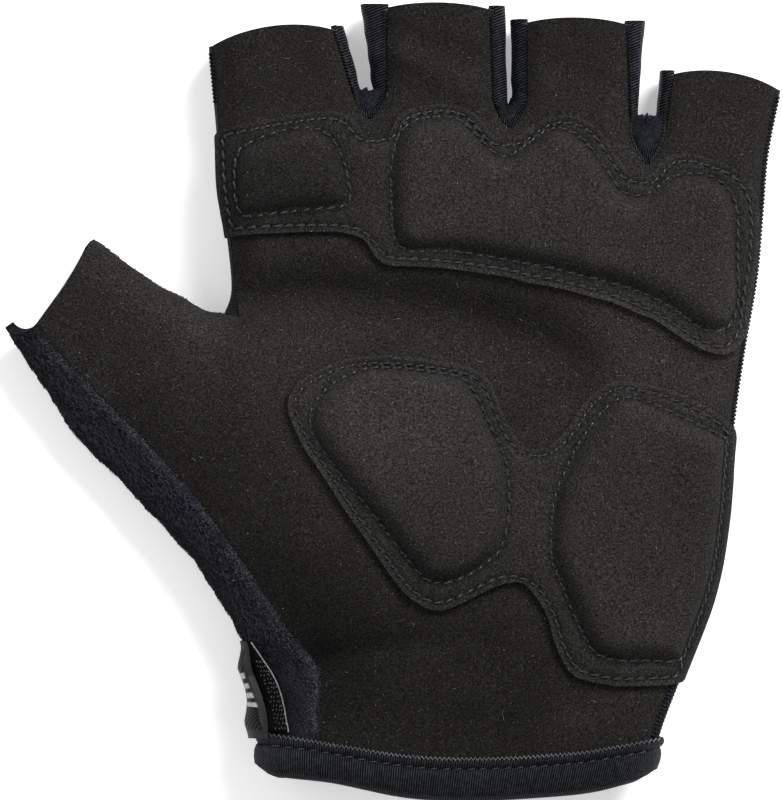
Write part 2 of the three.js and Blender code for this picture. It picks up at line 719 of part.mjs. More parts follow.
function palmPanel() {
  const crotchRow = lowerRows.length + palmThumbRoot.length - 2;
  const left = palmLeft.map((point, j) =>
    j > crotchRow ? offsetAcross(indexSide, point, SEAM_INSET) : point,
  );
  const thumbHem = smoothLine([TERRY_SEAM[0], { along: 1.01, below: 0.45 }, { along: 1, below: 0 }]);
  const hem = palmThumbRoot.map((_, i) => pointAlong(thumbHem, i / (palmThumbRoot.length - 1)));
  const inner = palmThumbRoot[palmThumbRoot.length - 1];
  const upper = [inner, ...PALM_THUMB_STEPS.map((share) => pointAlong(thumbTop, share))];
  hem[hem.length - 1] = upper[upper.length - 1];
  const thumb = fillPatch(palmThumbRoot, hem, [...seamUpper].reverse(), upper);
  const patches = [...handGrids(left, SEAM_INSET, onTop), lift(thumb, onTop)];
  return shell(patches, -SUEDE, 0);
}

// The strip of the back that turns over a side edge, up to the seam on the palm side.
function sideWrap(line, points, insets) {
  return points.map((point, j) => {
    const top = WRAP_COLUMNS.map((share) => onTop(offsetAcross(line, point, share * insets[j])));
    return [...top, onSole(point)];
  });
}

function backPanel() {
  const left = [...lowerRows, ...backThumbRoot.slice(1), ...indexRootRows];
  const patches = handGrids(left, 0, onSole);
  const edgeOf = (grid, column) => grid.map((row) => row.at(column).plan);
  const inset = SEAM_INSET - SIDE_GAP;
  const [trunk, index] = patches;
  const little = patches[patches.length - 1];
  const crotchRow = lowerRows.length + backThumbRoot.length - 2;
  const wedge = place(THUMB_ROOT_INSET).distanceTo(crotch) - GAP;
  const leftPoints = edgeOf(trunk, 0).slice(crotchRow).concat(edgeOf(index, 0).slice(1));
  const leftStrip = sideWrap(indexSide, leftPoints, leftPoints.map(() => inset));
  const wedgeFoot = pointAtLevel(indexSide, crotch.y + GAP);
  const wedgeRow = WRAP_COLUMNS.map((share) => onTop(offsetAcross(indexSide, wedgeFoot, share * wedge)));
  leftStrip[0].splice(0, WRAP_COLUMNS.length, ...wedgeRow);
  const rightPoints = edgeOf(trunk, -1).concat(edgeOf(little, -1).slice(1));
  const rightStrip = sideWrap(rightSide, rightPoints, rightPoints.map(() => inset));
  patches.push(leftStrip, rightStrip.map((row) => [...row].reverse()));
  return shell(patches, -KNIT, 0, true);
}

// Stations of the terry cloth, from the thumb's hem to the wrist.
function terryStations() {
  const outer = [thumbSide[0]];
  let from = 0;
  for (const { to, steps } of TERRY_STRETCHES) {
    for (let k = 1; k <= steps; k += 1) outer.push(pointAlong(thumbSide, lerp(from, to, k / steps)));
    from = to;
  }
  const seam = [];
  seamUpper.slice(0, -1).forEach((point, k) => {
    seam.push(point, point.clone().lerp(seamUpper[k + 1], 0.5));
  });
  seam.push(...seamLower);
  const upper = TERRY_THUMB_STEPS.map((share) => pointAlong(thumbTop, share));
  const under = [...upper.slice(0, -1), ...[...backThumbRoot].reverse(), ...seamLower.slice(1)];
  return { outer, seam, under };
}

function thumbTerry() {
  const { outer, seam, under } = terryStations();
  const towards = (from, to, distance) => from.clone().lerp(to, distance / from.distanceTo(to));
  const grid = outer.map((edge, k) => {
    const top = towards(seam[k], edge, GAP);
    const onEdge = k < SEAM_STEPS;
    const aside = k === SEAM_STEPS ? under[k - 1] : edge;
    const sole = onEdge ? under[k] : towards(under[k], aside, GAP);
    const topRow = TERRY_TOP_COLUMNS.map((share) => onTop(top.clone().lerp(edge, share)));
    const soleColumns = onEdge ? bothEnds(TERRY_SOLE_COLUMNS.length - 1) : TERRY_SOLE_COLUMNS;
    const soleRow = soleColumns.map((share) => onSole(edge.clone().lerp(sole, share)));
    return [...topRow, ...soleRow];
  });
  return shell([grid], -TERRY, 0);
}

// Shares that lie closer at both ends, for cloth that curves at both of its edges.
function bothEnds(count) {
  return Array.from({ length: count + 1 }, (_, k) => (1 - Math.cos((Math.PI * k) / count)) / 2);
}

// The tape between two fingers: its section runs along both sides of the slot.
function gusset({ slot, left, right }) {
  const bottom = place(slot);
  const foldAt = (side, point) => {
    const level = point.y;
    const leftX = pointAtLevel(left.slice(ROUND_STEPS), level).x;
    const rightX = pointAtLevel(right.slice(ROUND_STEPS), level).x;
    const share = (level - bottom.y - FOLD_RISE) / FINGER_LENGTH;
    const number = side < 0 ? 0 : 1;
    return new THREE.Vector2(lerp(leftX, rightX, lerp(slot.low[number], slot.high[number], share)), level);
  };
  const foldStart = ROUND_STEPS + 1;
  const middle = foldAt(-1, left[foldStart]).lerp(foldAt(1, right[foldStart]), 0.5);
  const stations = (side, edge) =>
    edge.map((point, k) => {
      if (k >= foldStart) return { edge: point, fold: foldAt(side, point) };
      const fold = middle.clone().lerp(foldAt(side, edge[foldStart]), k / foldStart);
      return { edge: point, fold };
    });
  const path = [...stations(-1, left).reverse(), ...stations(1, right).slice(1)];
  const points = GUSSET_SECTION.map(({ reach, tuck, height }) =>
    path.map(({ edge, fold }) => {
      const plan = edge.clone().lerp(fold, reach - (tuck * GUSSET_TUCK) / edge.distanceTo(fold));
      const top = onTop(edge).at.z - SUEDE - GAP;
      const under = onSole(edge).at.z + KNIT + GAP;
      return new THREE.Vector3(plan.x, plan.y, lerp(under, top, height));
    }),
  );
  return shell([withNormals(points)], -GUSSET_TAPE, 0);
}

// Gives each point of a grid the normal of the surface that the grid spans.
function withNormals(grid) {
  const clampIndex = (value, length) => Math.min(Math.max(value, 0), length - 1);
  return grid.map((row, j) =>
    row.map((at, i) => {
      const pick = (dj, di) => grid[clampIndex(j + dj, grid.length)][clampIndex(i + di, row.length)];
      const along = pick(0, 1).clone().sub(pick(0, -1));
      const down = pick(1, 0).clone().sub(pick(-1, 0));
      return { at, normal: along.cross(down).normalize() };
    }),
  );
}

// The sections of a table, with more between two that lie far apart.
function closeSections(table) {
  const sections = [table[0]];
  table.slice(1).forEach((next, k) => {
    const from = table[k];
    const steps = Math.ceil(((next.across - from.across) * PALM_WIDTH) / PATCH_COLUMN);
    for (let n = 1; n <= steps; n += 1) {
      const between = (name) => lerp(from[name], next[name], n / steps);
      sections.push({ across: between("across"), low: between("low"), high: between("high") });
    }
  });
  return sections;
}

// A patch laid on the palm, from its table of lower and upper edges.
function patchGrid(table, inset) {
  const sections = closeSections(table);
  const tallest = Math.max(...table.map(({ low, high }) => high - low)) * PALM_LENGTH;
  const rows = bothEnds(Math.max(Math.ceil(tallest / PATCH_ROW), FEWEST_PATCH_ROWS));
  return rows.map((share) =>
    sections.map(({ across, low, high }) =>
      onTop(keepInside(onPalm(across, lerp(low, high, share)), inset)),
    ),
  );
}

function suedePatch(table) {
  return shell([patchGrid(table, PATCH_INSET)], PATCH_GAP, PATCH_GAP + PATCH);
}

// A padded field: it swells up from its stitched outline.
function paddedField(table, height) {
  const grid = patchGrid(table, PAD_INSET);
  const plans = grid.map((row) => row.map((vertex) => vertex.plan));
  const outline = [
    ...plans[0],
    ...plans.slice(1).map((row) => row.at(-1)),
    ...[...plans[plans.length - 1]].reverse().slice(1),
    ...[...plans].reverse().slice(1).map((row) => row[0]),
  ];
  const edges = [{ points: outline, openStart: false, openEnd: false }];
  const base = PATCH_GAP + PATCH + GAP;
  const swell = ({ plan }) => {
    const turn = 1 - Math.min(nearest(edges, plan).distance / PAD_ROUNDING, 1);
    return base + PAD_EDGE + height * Math.sqrt(1 - turn * turn);
  };
  return shell([grid], base, swell);
}

// The binding: one tape folded over the ends of all the cloths, right round the wrist.
function wristBinding() {
  const inner = -TERRY - GAP;
  const section = [
    { depth: GAP, above: BINDING_FLANGE },
    { depth: GAP + BINDING_TAPE, above: BINDING_FLANGE },
    { depth: GAP + BINDING_TAPE, above: BINDING_ROUNDING - BINDING_FOLD },
    { depth: -TERRY / 2, above: -BINDING_FOLD },
    { depth: inner - BINDING_TAPE, above: BINDING_ROUNDING - BINDING_FOLD },
    { depth: inner - BINDING_TAPE, above: BINDING_FLANGE },
    { depth: inner, above: BINDING_FLANGE },
    { depth: inner, above: -GAP },
    { depth: GAP, above: -GAP },
  ];
  const steps = bothWays(WRIST_STEPS);
  const ring = (surface, shares) =>
    shares.map((share) =>
      section.map(({ depth, above }) => {
        const { at, normal } = surface(wristPoint(share, above));
        return at.addScaledVector(normal, depth);
      }),
    );
  const stations = [...ring(onTop, steps), ...ring(onSole, [...steps].reverse())];
  return closedTube(stations);
}

function closedTube(stations) {
  const sides = stations[0].length;
  const faces = [];
  stations.forEach((_, j) => {
    const next = (j + 1) % stations.length;
    for (let i = 0; i < sides; i += 1) {
      const a = j * sides + i;
      const b = j * sides + ((i + 1) % sides);
      const c = next * sides + ((i + 1) % sides);
      const d = next * sides + i;
      faces.push(a, b, c, a, c, d);
    }
  });
  const geometry = new THREE.BufferGeometry();
  const corners = stations.flat().flatMap((corner) => corner.toArray());
  geometry.setAttribute("position", new THREE.Float32BufferAttribute(corners, 3));
  geometry.setIndex(faces);
  geometry.computeVertexNormals();
  return geometry;
}

// A layer of the closure, laid round the thumb edge of the wrist: onto the palm side and under it.
function strapGrid(layer, wrap, length) {
  return CLOSURE_ROWS.map((row) => {
    const edge = pointAtLevel(thumbSide, row.up * PALM_LENGTH);
    const inward = (distance) => edge.clone().add(new THREE.Vector2(distance, 0));
    const top = TAB_TOP_COLUMNS.map((share) => onTop(inward(share * row[layer] * wrap)));
    const sole = TAB_SOLE_COLUMNS.map((share) => onSole(inward(share * length)));
    return [...top, ...sole];
  });
}

function hookStrip() {
  return shell([strapGrid("hook", HOOK_WRAP, HOOK_LENGTH)], GAP, GAP + HOOK_TAPE);
}

function closureTab() {
  const low = GAP + HOOK_TAPE + GAP;
  return shell([strapGrid("tab", TAB_WRAP, TAB_LENGTH)], low, low + TAB_RUBBER);
}

function finish(color, roughness) {
  return new THREE.MeshStandardMaterial({ color, roughness, metalness: 0 });
}

const palmSuede = finish(0x1e1d1c, 0.95);
const patchSuede = finish(0x262524, 0.95);
const knit = finish(0x15161c, 0.9);
const terry = finish(0x15161d, 1);
const tape = finish(0x1a1c26, 0.55);
const rubber = finish(0x3a3b3e, 0.5);
const hookTape = finish(0x0d0d0f, 0.4);

const glove = new THREE.Group();
const hand = new THREE.Group();
glove.add(hand);

function addPiece(name, geometry, material) {
  const mesh = new THREE.Mesh(geometry, material);
  mesh.name = name;
  hand.add(mesh);
}

addPiece("palm_panel", palmPanel(), palmSuede);
addPiece("back_panel", backPanel(), knit);
addPiece("thumb_terry", thumbTerry(), terry);
slots.forEach((slot) => addPiece(`gusset_${slot.slot.name}`, gusset(slot), tape));
addPiece("knuckle_patch", suedePatch(KNUCKLE_PATCH), patchSuede);
addPiece("heel_patch", suedePatch(HEEL_PATCH), patchSuede);
addPiece("index_pad", paddedField(INDEX_PAD, INDEX_PAD_HEIGHT), patchSuede);
addPiece("knuckle_pad", paddedField(KNUCKLE_PAD, PAD_HEIGHT), patchSuede);
addPiece("thenar_pad", paddedField(THENAR_PAD, PAD_HEIGHT), patchSuede);
addPiece("heel_pad", paddedField(HEEL_PAD, PAD_HEIGHT), patchSuede);
addPiece("wrist_binding", wristBinding(), tape);
addPiece("closure_tab", closureTab(), rubber);
addPiece("hook_strip", hookStrip(), hookTape);

// The part's origin is under the middle of its box, on the ground.
const box = new THREE.Box3().setFromObject(glove);
const middle = box.getCenter(new THREE.Vector3());
hand.position.set(-middle.x, -middle.y, -box.min.z);

export default glove;
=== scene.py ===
"""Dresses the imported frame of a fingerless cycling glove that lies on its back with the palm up.

The plan of the glove is in millimetres: X across the palm, Y towards the fingers, Z up. Every piece is
made from the same outlines and heights as the frame's solids, and is moved to the part's own origin.
"""

import logging
import math
from collections.abc import Callable, Iterable, Sequence
from dataclasses import dataclass
from enum import Enum
from functools import cached_property

import bpy
import numpy as np
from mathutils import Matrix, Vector
from mathutils.geometry import delaunay_2d_cdt

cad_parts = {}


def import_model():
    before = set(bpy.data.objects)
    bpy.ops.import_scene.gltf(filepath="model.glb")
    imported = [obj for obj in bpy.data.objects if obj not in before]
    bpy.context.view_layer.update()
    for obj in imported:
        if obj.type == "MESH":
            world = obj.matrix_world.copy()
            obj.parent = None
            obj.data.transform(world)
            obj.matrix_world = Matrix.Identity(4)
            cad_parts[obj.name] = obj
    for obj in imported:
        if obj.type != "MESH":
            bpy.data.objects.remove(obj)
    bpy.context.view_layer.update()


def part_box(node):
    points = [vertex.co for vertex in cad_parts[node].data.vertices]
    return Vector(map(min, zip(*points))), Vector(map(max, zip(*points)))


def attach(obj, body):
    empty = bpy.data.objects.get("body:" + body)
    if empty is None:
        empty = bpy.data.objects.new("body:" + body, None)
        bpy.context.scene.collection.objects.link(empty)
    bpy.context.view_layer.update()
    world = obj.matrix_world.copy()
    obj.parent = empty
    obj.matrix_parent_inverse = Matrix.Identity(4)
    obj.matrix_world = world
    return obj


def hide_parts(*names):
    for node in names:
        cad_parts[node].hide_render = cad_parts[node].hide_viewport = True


LOG = logging.getLogger("glove")
MILLIMETRE = 0.001
Array = np.ndarray
Mesh = tuple[Array, Array]
Tone = tuple[float, float, float]
SectionRow = tuple[float, float, float]
Piece = bpy.types.Object
Socket = bpy.types.NodeSocket


class Ground(Enum):
    """What the two numbers of a spot are measured in."""

    PALM = "shares of the palm's width and length"
    FINGER = "share of the palm's width, and of the finger length above the knuckles"
    THUMB = "shares of the thumb's length and width, from the crotch"


class Side(Enum):
    """The side of the lying glove that a cloth is on."""

    PALM = 1
    BACK = -1


@dataclass(frozen=True)
class Spot:
    """One point of an outline's table."""

    ground: Ground
    first: float
    second: float


def palm(across: float, up: float) -> Spot:
    """Gives a spot of the palm."""
    return Spot(Ground.PALM, across, up)


def palms(*numbers: float) -> tuple[Spot, ...]:
    """Gives several spots of the palm, from pairs of shares."""
    return tuple(palm(*pair) for pair in zip(numbers[::2], numbers[1::2]))


def finger(across: float, reach: float) -> Spot:
    """Gives a spot of a finger stall."""
    return Spot(Ground.FINGER, across, reach)


def thumb(along: float, below: float) -> Spot:
    """Gives a spot of the thumb stall."""
    return Spot(Ground.THUMB, along, below)


CROTCH = palm(-0.439, 0.706)
RIGHT_SIDE = (
    palm(0.354, -0.018), palm(0.378, 0.05), palm(0.41, 0.122), palm(0.469, 0.256),
    palm(0.495, 0.376), palm(0.507, 0.504), palm(0.529, 0.64), palm(0.553, 0.76),
    palm(0.564, 0.864), palm(0.574, 0.96), finger(0.598, 0.316),
)
INDEX_SIDE = (
    finger(-0.469, 0.678), palm(-0.454, 0.992), palm(-0.449, 0.904), palm(-0.434, 0.824),
    palm(-0.426, 0.744), CROTCH,
)
THUMB_TOP = (thumb(0, 0), thumb(0.12, 0.06), thumb(0.31, 0.06), thumb(0.535, 0.068), thumb(1, 0))
THUMB_SIDE = (
    thumb(1.22, 1), thumb(1.07, 1.09), thumb(0.92, 1.19), thumb(0.71, 1.33), thumb(0.43, 1.51),
    palm(-0.633, 0.44), palm(-0.562, 0.376), palm(-0.493, 0.312), palm(-0.458, 0.264),
    palm(-0.413, 0.2), palm(-0.376, 0.139), palm(-0.361, 0.088), palm(-0.369, 0.032),
    palm(-0.369, -0.013),
)
THUMB_HEM = (thumb(1.045, 0.85), thumb(1.01, 0.45), thumb(1, 0))
THUMB_TIP = (
    thumb(1.045, 0.85), thumb(1.067, 0.925), thumb(1.115, 0.987), thumb(1.18, 1.015), thumb(1.22, 1),
)
TERRY_SEAM = (
    thumb(1.045, 0.85), thumb(0.775, 0.98), thumb(0.41, 1.115), palm(-0.577, 0.496),
    palm(-0.475, 0.397), palm(-0.382, 0.285), palm(-0.317, 0.2),
)
WRIST_SEAM = palms(-0.317, 0.2, -0.274, 0.157, -0.257, 0.12, -0.263, 0.069)
THUMB_ROOT = (palm(-0.317, 0.2), palm(-0.369, 0.312), palm(-0.397, 0.44), palm(-0.408, 0.568), CROTCH)
WEDGE = palm(-0.41, 0.699)
WEDGE_TOP = palm(-0.426, 0.744)


@dataclass(frozen=True)
class Slot:
    """A slot between two fingers: its bottom, where the tape's fold stands across it, and how far up."""

    name: str
    bottom: Spot
    low: tuple[float, float]
    high: tuple[float, float]
    fold_rise: float


SLOTS = (
    Slot("index_middle", palm(-0.169, 1.013), (0.27, 0.6), (0.175, 0.56), 6.0),
    Slot("middle_ring", palm(0.092, 0.999), (0.43, 0.57), (0.43, 0.57), 5.0),
    Slot("ring_little", palm(0.348, 0.941), (0.23, 0.72), (0.42, 0.74), 9.6),
)


@dataclass(frozen=True)
class Hem:
    """The hem of a finger stall: both corners and its bow over the finger length."""

    left: Spot
    right: Spot
    bow: float


HEMS = (
    Hem(finger(-0.469, 0.678), finger(-0.238, 0.812), 0.09),
    Hem(finger(-0.134, 0.993), finger(0.054, 0.978), 0.045),
    Hem(finger(0.125, 0.869), finger(0.307, 0.854), 0.045),
    Hem(finger(0.397, 0.445), finger(0.598, 0.316), 0.075),
)


@dataclass(frozen=True)
class Fold:
    """A soft fold or swelling: a line, its width over the palm's width, and its height over it."""

    line: tuple[Spot, ...]
    width: float
    height: float


KNUCKLE_CREASE = palms(
    -0.43, 0.7, -0.34, 0.728, -0.22, 0.733, -0.08, 0.716, 0.04, 0.698, 0.15, 0.672, 0.215, 0.63,
    0.2, 0.575, 0.12, 0.515,
)
KNUCKLE_SHADE = palms(
    -0.4, 0.725, -0.32, 0.742, -0.2, 0.745, -0.06, 0.73, 0.08, 0.708, 0.19, 0.67, 0.225, 0.63,
)
FOLDS = (
    Fold(palms(-0.06, 0.7, 0.19, 0.6), 0.075, -0.011),
    Fold(palms(0.12, 0.53, 0.13, 0.45), 0.08, -0.009),
    Fold(palms(-0.25, 0.14, 0, 0.19), 0.06, -0.009),
    Fold(palms(-0.36, 0.66, -0.16, 0.68), 0.1, 0.009),
    Fold(palms(-0.5, 0.56, -0.42, 0.44), 0.08, -0.007),
    Fold(palms(-0.3, 0.4, -0.2, 0.25), 0.09, 0.008),
    Fold(palms(-0.64, 0.52, -0.36, 0.14), 0.2, -0.03),
    Fold(KNUCKLE_CREASE, 0.05, -0.019),
    Fold(palms(-0.42, 0.716, -0.3, 0.745, -0.2, 0.738), 0.022, -0.006),
    Fold(palms(-0.41, 0.69, -0.24, 0.7), 0.02, 0.007),
    Fold(palms(-0.36, 0.785, -0.24, 0.81), 0.025, 0.005),
    Fold(palms(-0.2, 0.775, -0.02, 0.765), 0.02, 0.004),
    Fold(palms(-0.31, 0.15, -0.05, 0.185), 0.022, -0.007),
    Fold(palms(-0.482, 0.69, -0.462, 0.63), 0.012, -0.006),
    Fold(palms(-0.505, 0.67, -0.5, 0.63), 0.014, -0.004),
    Fold(palms(-0.448, 0.665, -0.44, 0.61), 0.013, -0.005),
    Fold(palms(-0.11, 1.115, 0.03, 1.055), 0.024, 0.008),
    Fold(palms(-0.12, 1.15, 0.04, 1.1), 0.026, -0.006),
    Fold(palms(0.19, 1.09, 0.29, 1.05), 0.03, -0.005),
    Fold(palms(-0.42, 1.03, -0.3, 1.045), 0.02, -0.004),
    Fold(palms(0.42, 0.62, 0.5, 0.6), 0.04, -0.006),
    Fold(palms(-0.13, 0.11, 0.02, 0.1), 0.035, 0.005),
    Fold(palms(0.22, 0.05, 0.36, 0.1), 0.04, 0.005),
)


@dataclass(frozen=True)
class NapAndShading:
    """A place where the suede's colour is made darker or lighter: partly the nap's own lie, partly painted
    shade (a tone below 0) and painted light (a tone above 0) of the palm's slopes and creases; a line, its
    width over the palm's width, its tone.
    """

    line: tuple[Spot, ...]
    width: float
    tone: float


# Partly the nap's own lie, partly painted shade (tone below 0) where the palm's slopes and creases turn away
# from the key light and painted light (tone above 0) where they turn towards it; the knuckle line is painted
# shade along the crease.
NAP_AND_SHADING_PLACES = (
    NapAndShading(palms(-0.58, 0.48, -0.27, 0.2), 0.13, -0.4),
    NapAndShading(palms(-0.25, 0.08, 0.25, 0.1), 0.2, -0.36),
    NapAndShading(KNUCKLE_SHADE, 0.052, -0.38),
    NapAndShading(palms(-0.4, 1.13, 0.26, 1.14), 0.13, -0.16),
    NapAndShading(palms(-0.44, 0.66, -0.3, 0.62), 0.12, 0.42),
    NapAndShading(palms(-0.6, 0.74, -0.52, 0.66), 0.1, 0.15),
    NapAndShading(palms(-0.15, 0.51, -0.07, 0.53), 0.11, 0.55),
    NapAndShading(palms(0.0, 0.42, 0.02, 0.36), 0.09, 0.12),
    NapAndShading(palms(0.1, 0.86, 0.4, 0.8), 0.16, 0.16),
    NapAndShading(palms(-0.06, 0.94, -0.05, 0.85), 0.08, 0.16),
    NapAndShading(palms(0.2, 0.45, 0.33, 0.18), 0.12, 0.2),
    NapAndShading(palms(0.3, 0.2, 0.36, 0.2), 0.09, 0.3),
    NapAndShading(palms(0.3, 0.64, 0.42, 0.62), 0.12, 0.42),
    NapAndShading(palms(0.22, 0.06, 0.34, 0.07), 0.07, 0.2),
    NapAndShading(palms(-0.33, 0.9, -0.29, 0.9), 0.1, -0.34),
    NapAndShading(palms(0.45, 1.03, 0.55, 1.03), 0.1, -0.12),
)
KNUCKLE_PATCH: tuple[SectionRow, ...] = (
    (-0.446, 0.827, 0.99), (-0.4, 0.829, 1.004), (-0.313, 0.832, 1.018), (-0.242, 0.832, 1.025),
    (-0.205, 0.83, 1.014), (-0.176, 0.82, 0.984), (-0.155, 0.79, 0.975), (-0.132, 0.78, 0.986),
    (-0.112, 0.779, 1.019), (-0.065, 0.778, 1.034), (-0.009, 0.774, 1.035), (0.026, 0.771, 1.021),
    (0.061, 0.766, 0.984), (0.089, 0.762, 0.973), (0.119, 0.755, 0.989), (0.158, 0.749, 1.013),
    (0.201, 0.741, 1.018), (0.246, 0.73, 1.003), (0.279, 0.722, 0.968), (0.313, 0.71, 0.922),
    (0.335, 0.702, 0.914), (0.361, 0.693, 0.926), (0.387, 0.678, 0.952), (0.428, 0.656, 0.957),
    (0.466, 0.642, 0.947), (0.494, 0.642, 0.939), (0.522, 0.672, 0.923), (0.544, 0.8, 0.88),
)
INDEX_PAD: tuple[SectionRow, ...] = (
    (-0.412, 0.896, 0.944), (-0.404, 0.866, 0.965), (-0.391, 0.858, 0.973), (-0.354, 0.861, 0.987),
    (-0.298, 0.867, 0.998), (-0.251, 0.87, 0.992), (-0.223, 0.872, 0.96), (-0.205, 0.882, 0.907),
)
KNUCKLE_PAD: tuple[SectionRow, ...] = (
    (-0.128, 0.848, 0.936), (-0.121, 0.821, 0.971), (-0.112, 0.81, 0.99), (-0.093, 0.802, 1.005),
    (-0.065, 0.803, 1.014), (-0.006, 0.803, 1.013), (0.028, 0.798, 0.989), (0.06, 0.794, 0.96),
    (0.089, 0.789, 0.952), (0.13, 0.782, 0.976), (0.168, 0.776, 0.997), (0.214, 0.766, 0.989),
    (0.255, 0.757, 0.952), (0.292, 0.749, 0.904), (0.32, 0.742, 0.89), (0.354, 0.73, 0.896),
    (0.391, 0.712, 0.92), (0.447, 0.68, 0.925), (0.479, 0.677, 0.914), (0.499, 0.693, 0.896),
    (0.51, 0.728, 0.864),
)
HEEL_PATCH: tuple[SectionRow, ...] = (
    (-0.318, 0.552, 0.571), (-0.307, 0.525, 0.589), (-0.289, 0.49, 0.602), (-0.261, 0.456, 0.616),
    (-0.214, 0.392, 0.632), (-0.168, 0.336, 0.637), (-0.13, 0.288, 0.637), (-0.093, 0.253, 0.634),
    (-0.047, 0.234, 0.629), (0, 0.245, 0.622), (0.047, 0.264, 0.603), (0.074, 0.274, 0.552),
    (0.093, 0.278, 0.512), (0.121, 0.274, 0.488), (0.158, 0.229, 0.488), (0.177, 0.176, 0.498),
    (0.205, 0.133, 0.523), (0.233, 0.122, 0.56), (0.27, 0.115, 0.589), (0.307, 0.112, 0.597),
    (0.382, 0.117, 0.584), (0.41, 0.124, 0.574), (0.43, 0.14, 0.566), (0.447, 0.186, 0.56),
    (0.475, 0.252, 0.544),
    (0.492, 0.316, 0.53), (0.503, 0.404, 0.514),
)
THENAR_PAD: tuple[SectionRow, ...] = (
    (-0.276, 0.52, 0.549), (-0.264, 0.501, 0.568), (-0.242, 0.472, 0.589), (-0.214, 0.44, 0.605),
    (-0.168, 0.392, 0.618), (-0.121, 0.339, 0.618), (-0.093, 0.31, 0.616), (-0.065, 0.283, 0.613),
    (-0.028, 0.277, 0.608), (0.009, 0.288, 0.598), (0.034, 0.299, 0.565), (0.056, 0.314, 0.52),
    (0.074, 0.33, 0.488), (0.088, 0.376, 0.443),
)
HEEL_PAD: tuple[SectionRow, ...] = (
    (0.169, 0.312, 0.376), (0.179, 0.291, 0.421), (0.196, 0.256, 0.456), (0.214, 0.219, 0.488),
    (0.237, 0.179, 0.517), (0.261, 0.16, 0.544), (0.298, 0.154, 0.57), (0.345, 0.154, 0.565),
    (0.41, 0.16, 0.541), (0.447, 0.224, 0.525), (0.466, 0.275, 0.517), (0.48, 0.336, 0.509),
    (0.49, 0.424, 0.499),
)
CLOSURE_ROWS = (
    (0.185, 0.59, 0.45), (0.16, 0.47, 0.51), (0.135, 0.3, 0.58), (0.11, 0.38, 0.65),
    (0.085, 0.6, 0.73), (0.06, 0.98, 0.87), (0.041, 1.28, 1.02), (0.026, 1.36, 1.06),
)


def spline(points: Array, steps: int, closed: bool = False) -> Array:
    """Draws a smooth line through points.

    Args:
        points: The points, one a row.
        steps: How many steps lie between two points.
        closed: Whether the line returns to its start.

    Returns:
        The points of the line; a closed line doesn't repeat its first.
    """
    count = len(points)
    part = np.linspace(0, 1, steps, endpoint=False)[:, None]
    pieces = []
    for i in range(count if closed else count - 1):
        if closed:
            before, start, end, after = (points[(i + k) % count] for k in (-1, 0, 1, 2))
        else:
            before, start = points[max(i - 1, 0)], points[i]
            end, after = points[i + 1], points[min(i + 2, count - 1)]
        leave, arrive = (end - before) / 2, (after - start) / 2
        cubic = (2 * start - 2 * end + leave + arrive) * part**3
        square = (-3 * start + 3 * end - 2 * leave - arrive) * part**2
        pieces.append(cubic + square + leave * part + start)
    if not closed:
        pieces.append(points[-1:])
    return np.vstack(pieces)


def lengths(line: Array) -> Array:
    """Gives the length along a line at each of its points."""
    steps = np.linalg.norm(np.diff(line, axis=0), axis=1)
    return np.concatenate([[0.0], np.cumsum(steps)])


def points_at(line: Array, places: Array, along: Array | None = None) -> Array:
    """Gives the points of a line at some lengths along it, or along another line of as many points."""
    along = lengths(line) if along is None else along
    return np.column_stack([np.interp(places, along, line[:, k]) for k in range(line.shape[1])])


def with_start(line: Array) -> Array:
    """Repeats a closed line's first point at its end."""
    return np.vstack([line, line[:1]])


def resample(line: Array, step: float, closed: bool = False) -> Array:
    """Divides a line into even steps.

    Args:
        line: The line's points.
        step: The wanted length of a step.
        closed: Whether the line returns to its start; the start isn't repeated.

    Returns:
        The new points, both ends among them on an open line.
    """
    whole = with_start(line) if closed else line
    total = lengths(whole)[-1]
    count = max(int(round(total / step)), 1)
    points = points_at(whole, np.linspace(0, total, count + 1))
    return points[:-1] if closed else points


def unit(vectors: Array) -> Array:
    """Gives vectors, one a row, a length of 1."""
    return vectors / np.linalg.norm(vectors, axis=1)[:, None]


def directions(line: Array, closed: bool = False) -> Array:
    """Gives the unit direction of a line at each of its points."""
    if closed:
        return unit(np.roll(line, -1, axis=0) - np.roll(line, 1, axis=0))
    return unit(np.gradient(line, axis=0))


def left_normals(line: Array, closed: bool = False) -> Array:
    """Gives the unit normals to the left of a line at each of its points."""
    run = directions(line, closed)
    return np.column_stack([-run[:, 1], run[:, 0]])


def at_level(line: Array, levels: Array | float) -> Array:
    """Gives the points of a rising or falling line at some Y; the line runs on past its ends."""
    wanted = np.atleast_1d(np.asarray(levels, dtype=float))
    x, y = line[line[:, 1].argsort()].T
    below = x[0] + (wanted - y[0]) * (x[1] - x[0]) / (y[1] - y[0])
    above = x[-1] + (wanted - y[-1]) * (x[-1] - x[-2]) / (y[-1] - y[-2])
    inside = np.interp(wanted, y, x)
    return np.column_stack([np.where(wanted < y[0], below, np.where(wanted > y[-1], above, inside)), wanted])


def ease_step(value: Array, low: float, high: float) -> Array:
    """Rises smoothly from 0 at low to 1 at high."""
    part = np.clip((value - low) / (high - low), 0, 1)
    return part * part * (3 - 2 * part)


def cloud(points: Array, size: float, seed: float) -> Array:
    """Gives a smooth random field from -1 to 1 whose patches are about one size wide."""
    spread = points[:, :2] / size
    cell = np.floor(spread)
    part = spread - cell
    part = part * part * (3 - 2 * part)

    def corner(dx: int, dy: int) -> Array:
        """Gives the random values at one corner of the cells."""
        value = np.sin((cell[:, 0] + dx) * 127.1 + (cell[:, 1] + dy) * 311.7 + seed * 74.7) * 43758.5453
        return (value - np.floor(value)) * 2 - 1

    low = corner(0, 0) * (1 - part[:, 0]) + corner(1, 0) * part[:, 0]
    high = corner(0, 1) * (1 - part[:, 0]) + corner(1, 1) * part[:, 0]
    return low * (1 - part[:, 1]) + high * part[:, 1]


